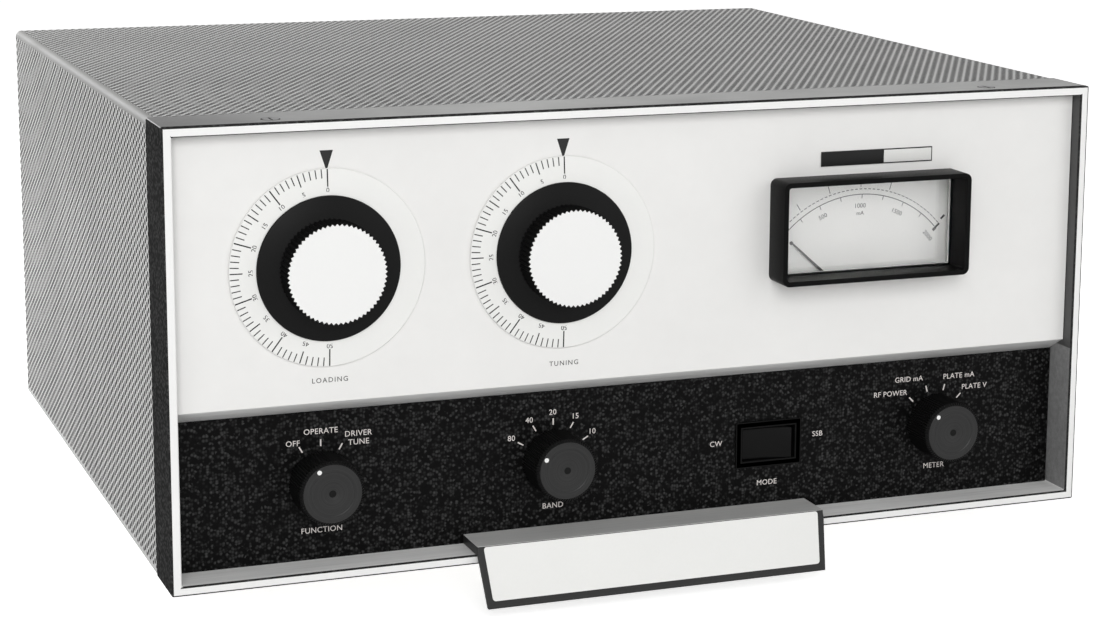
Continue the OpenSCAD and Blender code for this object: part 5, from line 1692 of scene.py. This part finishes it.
@dataclass
class RearFittings:
    """Fan guard, sockets, fuse caps, ground post and gland."""

    fan: Spot = (-119.0, 126.5)
    rings: tuple[float, ...] = (12.0, 20.0, 28.0, 36.0)
    eyes: float = 41.0
    coax_x: tuple[float, float] = (-153.0, -113.0)
    coax_z: float = 37.0
    coax_half: float = 12.7
    coax_bolt: float = 9.1
    fuse_x: tuple[float, float] = (37.0, 61.0)
    fuse_z: float = 40.0
    ground_x: float = -59.0
    gland_x: float = 147.0

    def build(self) -> None:
        """Builds the rear fittings."""
        self.guard()
        self.coax()
        self.fuses()
        self.ground()
        self.gland()
        self.legend()

    def guard(self) -> None:
        """Round wire rings on two crossed arms, with an eye at each corner."""
        x, z = self.fan
        pieces = []
        for radius in self.rings:
            clear()
            bpy.ops.mesh.primitive_torus_add(
                major_radius=radius * MM, minor_radius=1.1 * MM, major_segments=64, minor_segments=10,
                location=at(x, REAR_Y + 1.2, z), rotation=(math.radians(90), 0.0, 0.0))
            pieces.append(shade(settle(bpy.context.object, "ring"), 60.0))
        reach = self.eyes * math.sqrt(2)
        ring = [(2.2, 0.0), (4.0, 0.0), (4.2, 0.6), (4.2, 1.8), (3.8, 2.3), (2.6, 2.3), (2.2, 2.0),
                (2.2, 0.0)]
        dome = [(3.2, 0.0), (3.2, 0.7), (2.7, 1.4), (1.6, 1.8), (0.0, 1.9)]
        for turn in (45.0, 135.0, 225.0, 315.0):
            arm = line(polar(self.fan, 11.0, turn), polar(self.fan, reach - 2.6, turn), 2.0,
                       REAR_Y + 2.05, 1.7)
            ease(arm, 0.7, 3, 40.0)
            ex, ez = polar(self.fan, reach, turn)
            eye = turned("eye", (ex, REAR_Y, ez), Axis.BACK, ring, 32, hollow=True)
            head = turned("screw", (ex, REAR_Y + 1.4, ez), Axis.BACK, dome, 32)
            pieces += [arm, eye, slotted(head, (ex, ez), (2.7, 4.0), 4.0, 0.35)]
        fix(join("fan_grille", pieces), BRIGHT_NICKEL, "fan_guard")

    def coax(self) -> None:
        """Square-flanged sockets with a threaded nose and a white inner collar."""
        nose = [(6.3, 4.0), (6.3, 14.0), (7.2, 14.0)]
        for i in range(9):
            high = 13.4 - i * 1.05
            nose += [(7.9, high), (7.35, high - 0.5)]
        nose += [(7.9, 3.6), (7.9, -12.0), (2.0, -12.0), (2.0, -20.0), (0.5, -20.0), (0.5, 4.0),
                 (6.3, 4.0)]
        rim = [(3.0, 3.5), (3.0, 11.6), (2.6, 12.0), (2.0, 12.0), (2.0, 3.5), (3.0, 3.5)]
        half, bolt, z = self.coax_half, self.coax_bolt, self.coax_z
        metal, collars = [], []
        for x in self.coax_x:
            plate = block("plate", (x - half, REAR_Y, z - half), (x + half, REAR_Y + 2.5, z + half))
            ease(plate, 0.5, 3, 40.0)
            bores = [turned("bore", (x + sx * bolt, REAR_Y - 1.0, z + sz * bolt), Axis.BACK,
                            [(1.5, 0.0), (1.5, 5.0)], 20) for sx in (-1, 1) for sz in (-1, 1)]
            metal.append(shade(cut_away(plate, *bores)))
            metal.append(turned("nose", (x, REAR_Y, z), Axis.BACK, nose, 48, hollow=True))
            collars.append(turned("collar", (x, REAR_Y, z), Axis.BACK, rim, 32, hollow=True))
        fix(join("coax_metal", metal), BRIGHT_NICKEL, "coax_sockets")
        fix(join("coax_collars", collars), STEATITE)

    def fuses(self) -> None:
        """Black bodies with a knurled cap that has a slot across its end."""
        profile = [(6.2, -30.0), (6.2, 0.0), (8.6, 0.0), (8.6, 2.2), (8.0, 3.0), (6.0, 3.0)]
        z = self.fuse_z
        pieces = []
        for x in self.fuse_x:
            pieces.append(turned("body", (x, REAR_Y, z), Axis.BACK, profile, 48))
            cap = fluted("cap", (x, REAR_Y + 2.6, z), Axis.BACK, 7.0, 24, 0.5, 11.4, 0.8)
            pieces.append(slotted(cap, (x, z), (12.8, 15.0), 4.5, 0.6))
        fix(join("fuse_caps", pieces), FUSE_BLACK, "fuse_holders")

    def ground(self) -> None:
        """A threaded stud with a hexagon nut and a knurled thumb nut."""
        x, z = self.ground_x, self.coax_z
        thread = [(2.4, -12.0)]
        for i in range(34):
            high = -11.6 + i * 0.8
            thread += [(2.9, high), (2.5, high + 0.4)]
        thread += [(2.4, 16.0)]
        stud = turned("stud", (x, REAR_Y, z), Axis.BACK, thread, 24)
        nut = turned("nut", (x, REAR_Y, z), Axis.BACK, [(5.5, 0.0), (5.5, 4.0)], 6)
        ease(nut, 0.35, 2, 40.0)
        thumb = fluted("thumb", (x, REAR_Y + 6.0, z), Axis.BACK, 6.0, 24, 0.5, 7.0, 0.6)
        fix(join("ground_stud", [stud, nut, thumb]), POST_BRASS, "ground_post")

    def gland(self) -> None:
        """A rubber gland with ribs round its nose."""
        profile = [(4.0, -10.0), (8.0, -10.0), (8.0, 0.0), (11.0, 0.0), (11.0, 2.2), (10.4, 3.0)]
        for i in range(5):
            high, wide = 3.6 + i * 2.6, 7.5 - 0.2 * i
            profile += [(wide, high), (wide, high + 1.3), (wide - 0.9, high + 1.5),
                        (wide - 0.9, high + 2.4)]
        profile += [(6.4, 17.2), (6.0, 18.0), (4.0, 18.0), (4.0, -10.0)]
        piece = turned("lead_gland", (self.gland_x, REAR_Y, self.fuse_z), Axis.BACK, profile, 48,
                       hollow=True)
        fix(piece, FOOT_RUBBER, "cord_gland")

    def legend(self) -> None:
        """Plain words that say what each fitting is."""
        words = (("INPUT", self.coax_x[0], 20.0), ("OUTPUT", self.coax_x[1], 20.0),
                 ("GROUND", self.ground_x, 24.5), ("FUSE", self.fuse_x[0], 26.0),
                 ("FUSE", self.fuse_x[1], 26.0), ("LINE", self.gland_x, 23.0))
        pieces = [lettered(text, (x, z), REAR_Y, 2.6, back=True) for text, x, z in words]
        fix(join("rear_legend", pieces), REAR_INK)


# ------------------------------------------------------------------ finishes on the carried nodes


class CarriedNodes:
    """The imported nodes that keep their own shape."""

    def dress(self) -> None:
        """Gives every carried node the finish of its slot; the meter's glass has a black rim."""
        finishes = {finish.slot: finish for finish in CARRIED}
        slots = {part["node"]: part["material_slot"] for part in frame["record"]["subparts"]}
        for name, node in frame["nodes"].items():
            finish = finishes[slots[name]]
            if finish is METER_GLASS:
                paint(node, METER_GLASS, HOOD_BLACK, test=lambda p, n: int(abs(n.y) < 0.5))
            else:
                paint(node, finish)
            log.info("%s keeps its shape, with %s", name, finish.slot)


# ------------------------------------------------------------------ studio


@dataclass
class Studio:
    """Floor, lights, world and camera."""

    camera_at: Point = (-0.403, -1.1649, 0.354)
    azimuth: float = -21.90
    elevation: float = 10.65
    roll: float = 0.55
    focal_px: float = 2637.0
    middle_px: tuple[float, float] = (640.0, 236.0)
    frame_px: tuple[float, float] = (1100.0, 618.0)
    sensor: float = 36.0
    floor_size: float = 14.0
    floor_glow: float = 0.72
    surround: float = 0.38

    def build(self) -> None:
        """Sets the stage."""
        self.floor()
        self.lamps()
        self.world()
        self.camera()
        bpy.context.scene.view_settings.view_transform = "Standard"

    def floor(self) -> None:
        """A plain pale floor."""
        clear()
        bpy.ops.mesh.primitive_plane_add(size=self.floor_size)
        plane = settle(bpy.context.object, "floor")
        material = bpy.data.materials.new("floor_paper")
        material.use_nodes = True
        nodes = material.node_tree.nodes
        wire = Wiring(material.node_tree)
        wire.feed(nodes["Principled BSDF"], {"Base Color": (0.80, 0.80, 0.80, 1.0), "Roughness": 0.9,
                                             "Specular IOR Level": 0.1})
        strength = wire.times(self._seen(wire), self.floor_glow)
        glow = wire.add("ShaderNodeEmission", {"Color": WHITE, "Strength": strength}).outputs[0]
        paper = nodes["Principled BSDF"].outputs[0]
        mixed = wire.add("ShaderNodeAddShader", {0: paper, 1: glow}).outputs[0]
        wire.feed(nodes["Material Output"], {"Surface": mixed})
        plane.data.materials.append(material)

    @staticmethod
    def _seen(wire: Wiring) -> Socket:
        """Finds where a camera, glossy or transmission ray looks.

        Args:
            wire: The tree's wiring.

        Returns:
            1 for such a ray, 0 for the others.
        """
        path = wire.add("ShaderNodeLightPath").outputs
        both = wire.math("MAXIMUM", path["Is Camera Ray"], path["Is Glossy Ray"])
        return wire.math("MAXIMUM", both, path["Is Transmission Ray"])

    def lamps(self) -> None:
        """A broad key from the front left, a weaker fill from the right, and one behind the left."""
        for name, spot, target, size, power in (
            ("key", (-0.7, -2.4, 1.15), (0.0, 0.0, 0.1), 1.4, 34.0),
            ("fill", (1.5, -2.0, 0.9), (0.0, 0.0, 0.1), 1.6, 9.0),
            ("left", (-0.60, 0.85, 0.60), (-0.1, 0.0, 0.1), 0.5, 11.0),
        ):
            data = bpy.data.lights.new(name, "AREA")
            data.energy = power
            data.size = size
            lamp = bpy.data.objects.new(name, data)
            lamp.location = spot
            lamp.visible_camera = False
            lamp.rotation_euler = (Vector(target) - Vector(spot)).to_track_quat("-Z", "Y").to_euler()
            bpy.context.scene.collection.objects.link(lamp)

    def world(self) -> None:
        """A plain surround: white to look at, soft grey as light."""
        world = bpy.context.scene.world or bpy.data.worlds.new("surround")
        bpy.context.scene.world = world
        world.use_nodes = True
        wire = Wiring(world.node_tree)
        strength = wire.ramp(self._seen(wire), 0.0, 1.0, self.surround, 1.0)
        wire.feed(world.node_tree.nodes["Background"], {"Color": WHITE, "Strength": strength})

    def camera(self) -> None:
        """The photograph's camera."""
        az, el, roll = (math.radians(a) for a in (self.azimuth, self.elevation, self.roll))
        back = Vector((math.sin(az) * math.cos(el), -math.cos(az) * math.cos(el), math.sin(el)))
        right = (-back).cross(Vector((0.0, 0.0, 1.0))).normalized()
        up = right.cross(-back).normalized()
        rolled_right = right * math.cos(roll) + up * math.sin(roll)
        rolled_up = up * math.cos(roll) - right * math.sin(roll)
        data = bpy.data.cameras.new("camera")
        width, height = self.frame_px
        data.sensor_width = self.sensor
        data.lens = self.focal_px / width * self.sensor
        data.shift_x = (width / 2 - self.middle_px[0]) / width
        data.shift_y = (self.middle_px[1] - height / 2) / width
        data.clip_start = 0.01
        camera = bpy.data.objects.new("camera", data)
        basis = Matrix((rolled_right, rolled_up, back)).transposed().to_4x4()
        camera.matrix_world = Matrix.Translation(Vector(self.camera_at)) @ basis
        bpy.context.scene.collection.objects.link(camera)
        bpy.context.scene.camera = camera


def main() -> None:
    """Builds the stage, the pieces in order, and the heavy cover last."""
    logging.basicConfig(level=logging.INFO, format="%(message)s", stream=sys.stdout)
    Studio().build()
    CarriedNodes().dress()
    cabinet = Cabinet()
    cabinet.build()
    TuningDial("loading", Body.LOADING, -137.0, -136.6, 81.0).build()
    TuningDial("tuning", Body.TUNING, -38.3, -37.7, 80.0).build()
    SmallKnob("function", Body.FUNCTION, -138.0, -30.0, (-30.0, 0.0, 30.0),
              (("OFF", -149.5, 53.2), ("OPERATE", -137.9, 57.5), ("DRIVER", -122.2, 55.3),
               ("TUNE", -122.2, 51.7), ("FUNCTION", -138.0, 16.3))).build()
    SmallKnob("band", Body.BAND, -38.4, -60.0, (-60.0, -30.0, 0.0, 30.0, 60.0),
              (("80", -56.8, 47.0), ("40", -49.0, 54.1), ("20", -38.6, 56.7), ("15", -28.4, 54.2),
               ("10", -20.8, 47.0), ("BAND", -38.4, 16.5))).build()
    SmallKnob("selector", Body.SELECTOR, 141.0, -45.0, (-45.0, -15.0, 15.0, 45.0),
              (("RF POWER", 119.0, 51.2), ("GRID mA", 127.9, 57.1), ("PLATE mA", 152.7, 56.9),
               ("PLATE V", 160.6, 51.5), ("METER", 141.4, 16.9))).build()
    ModeRocker().build()
    Meter().build()
    Nameplate().build()
    Interior().build()
    RearFittings().build()
    cabinet.cover()


if __name__ == "__main__":
    main()
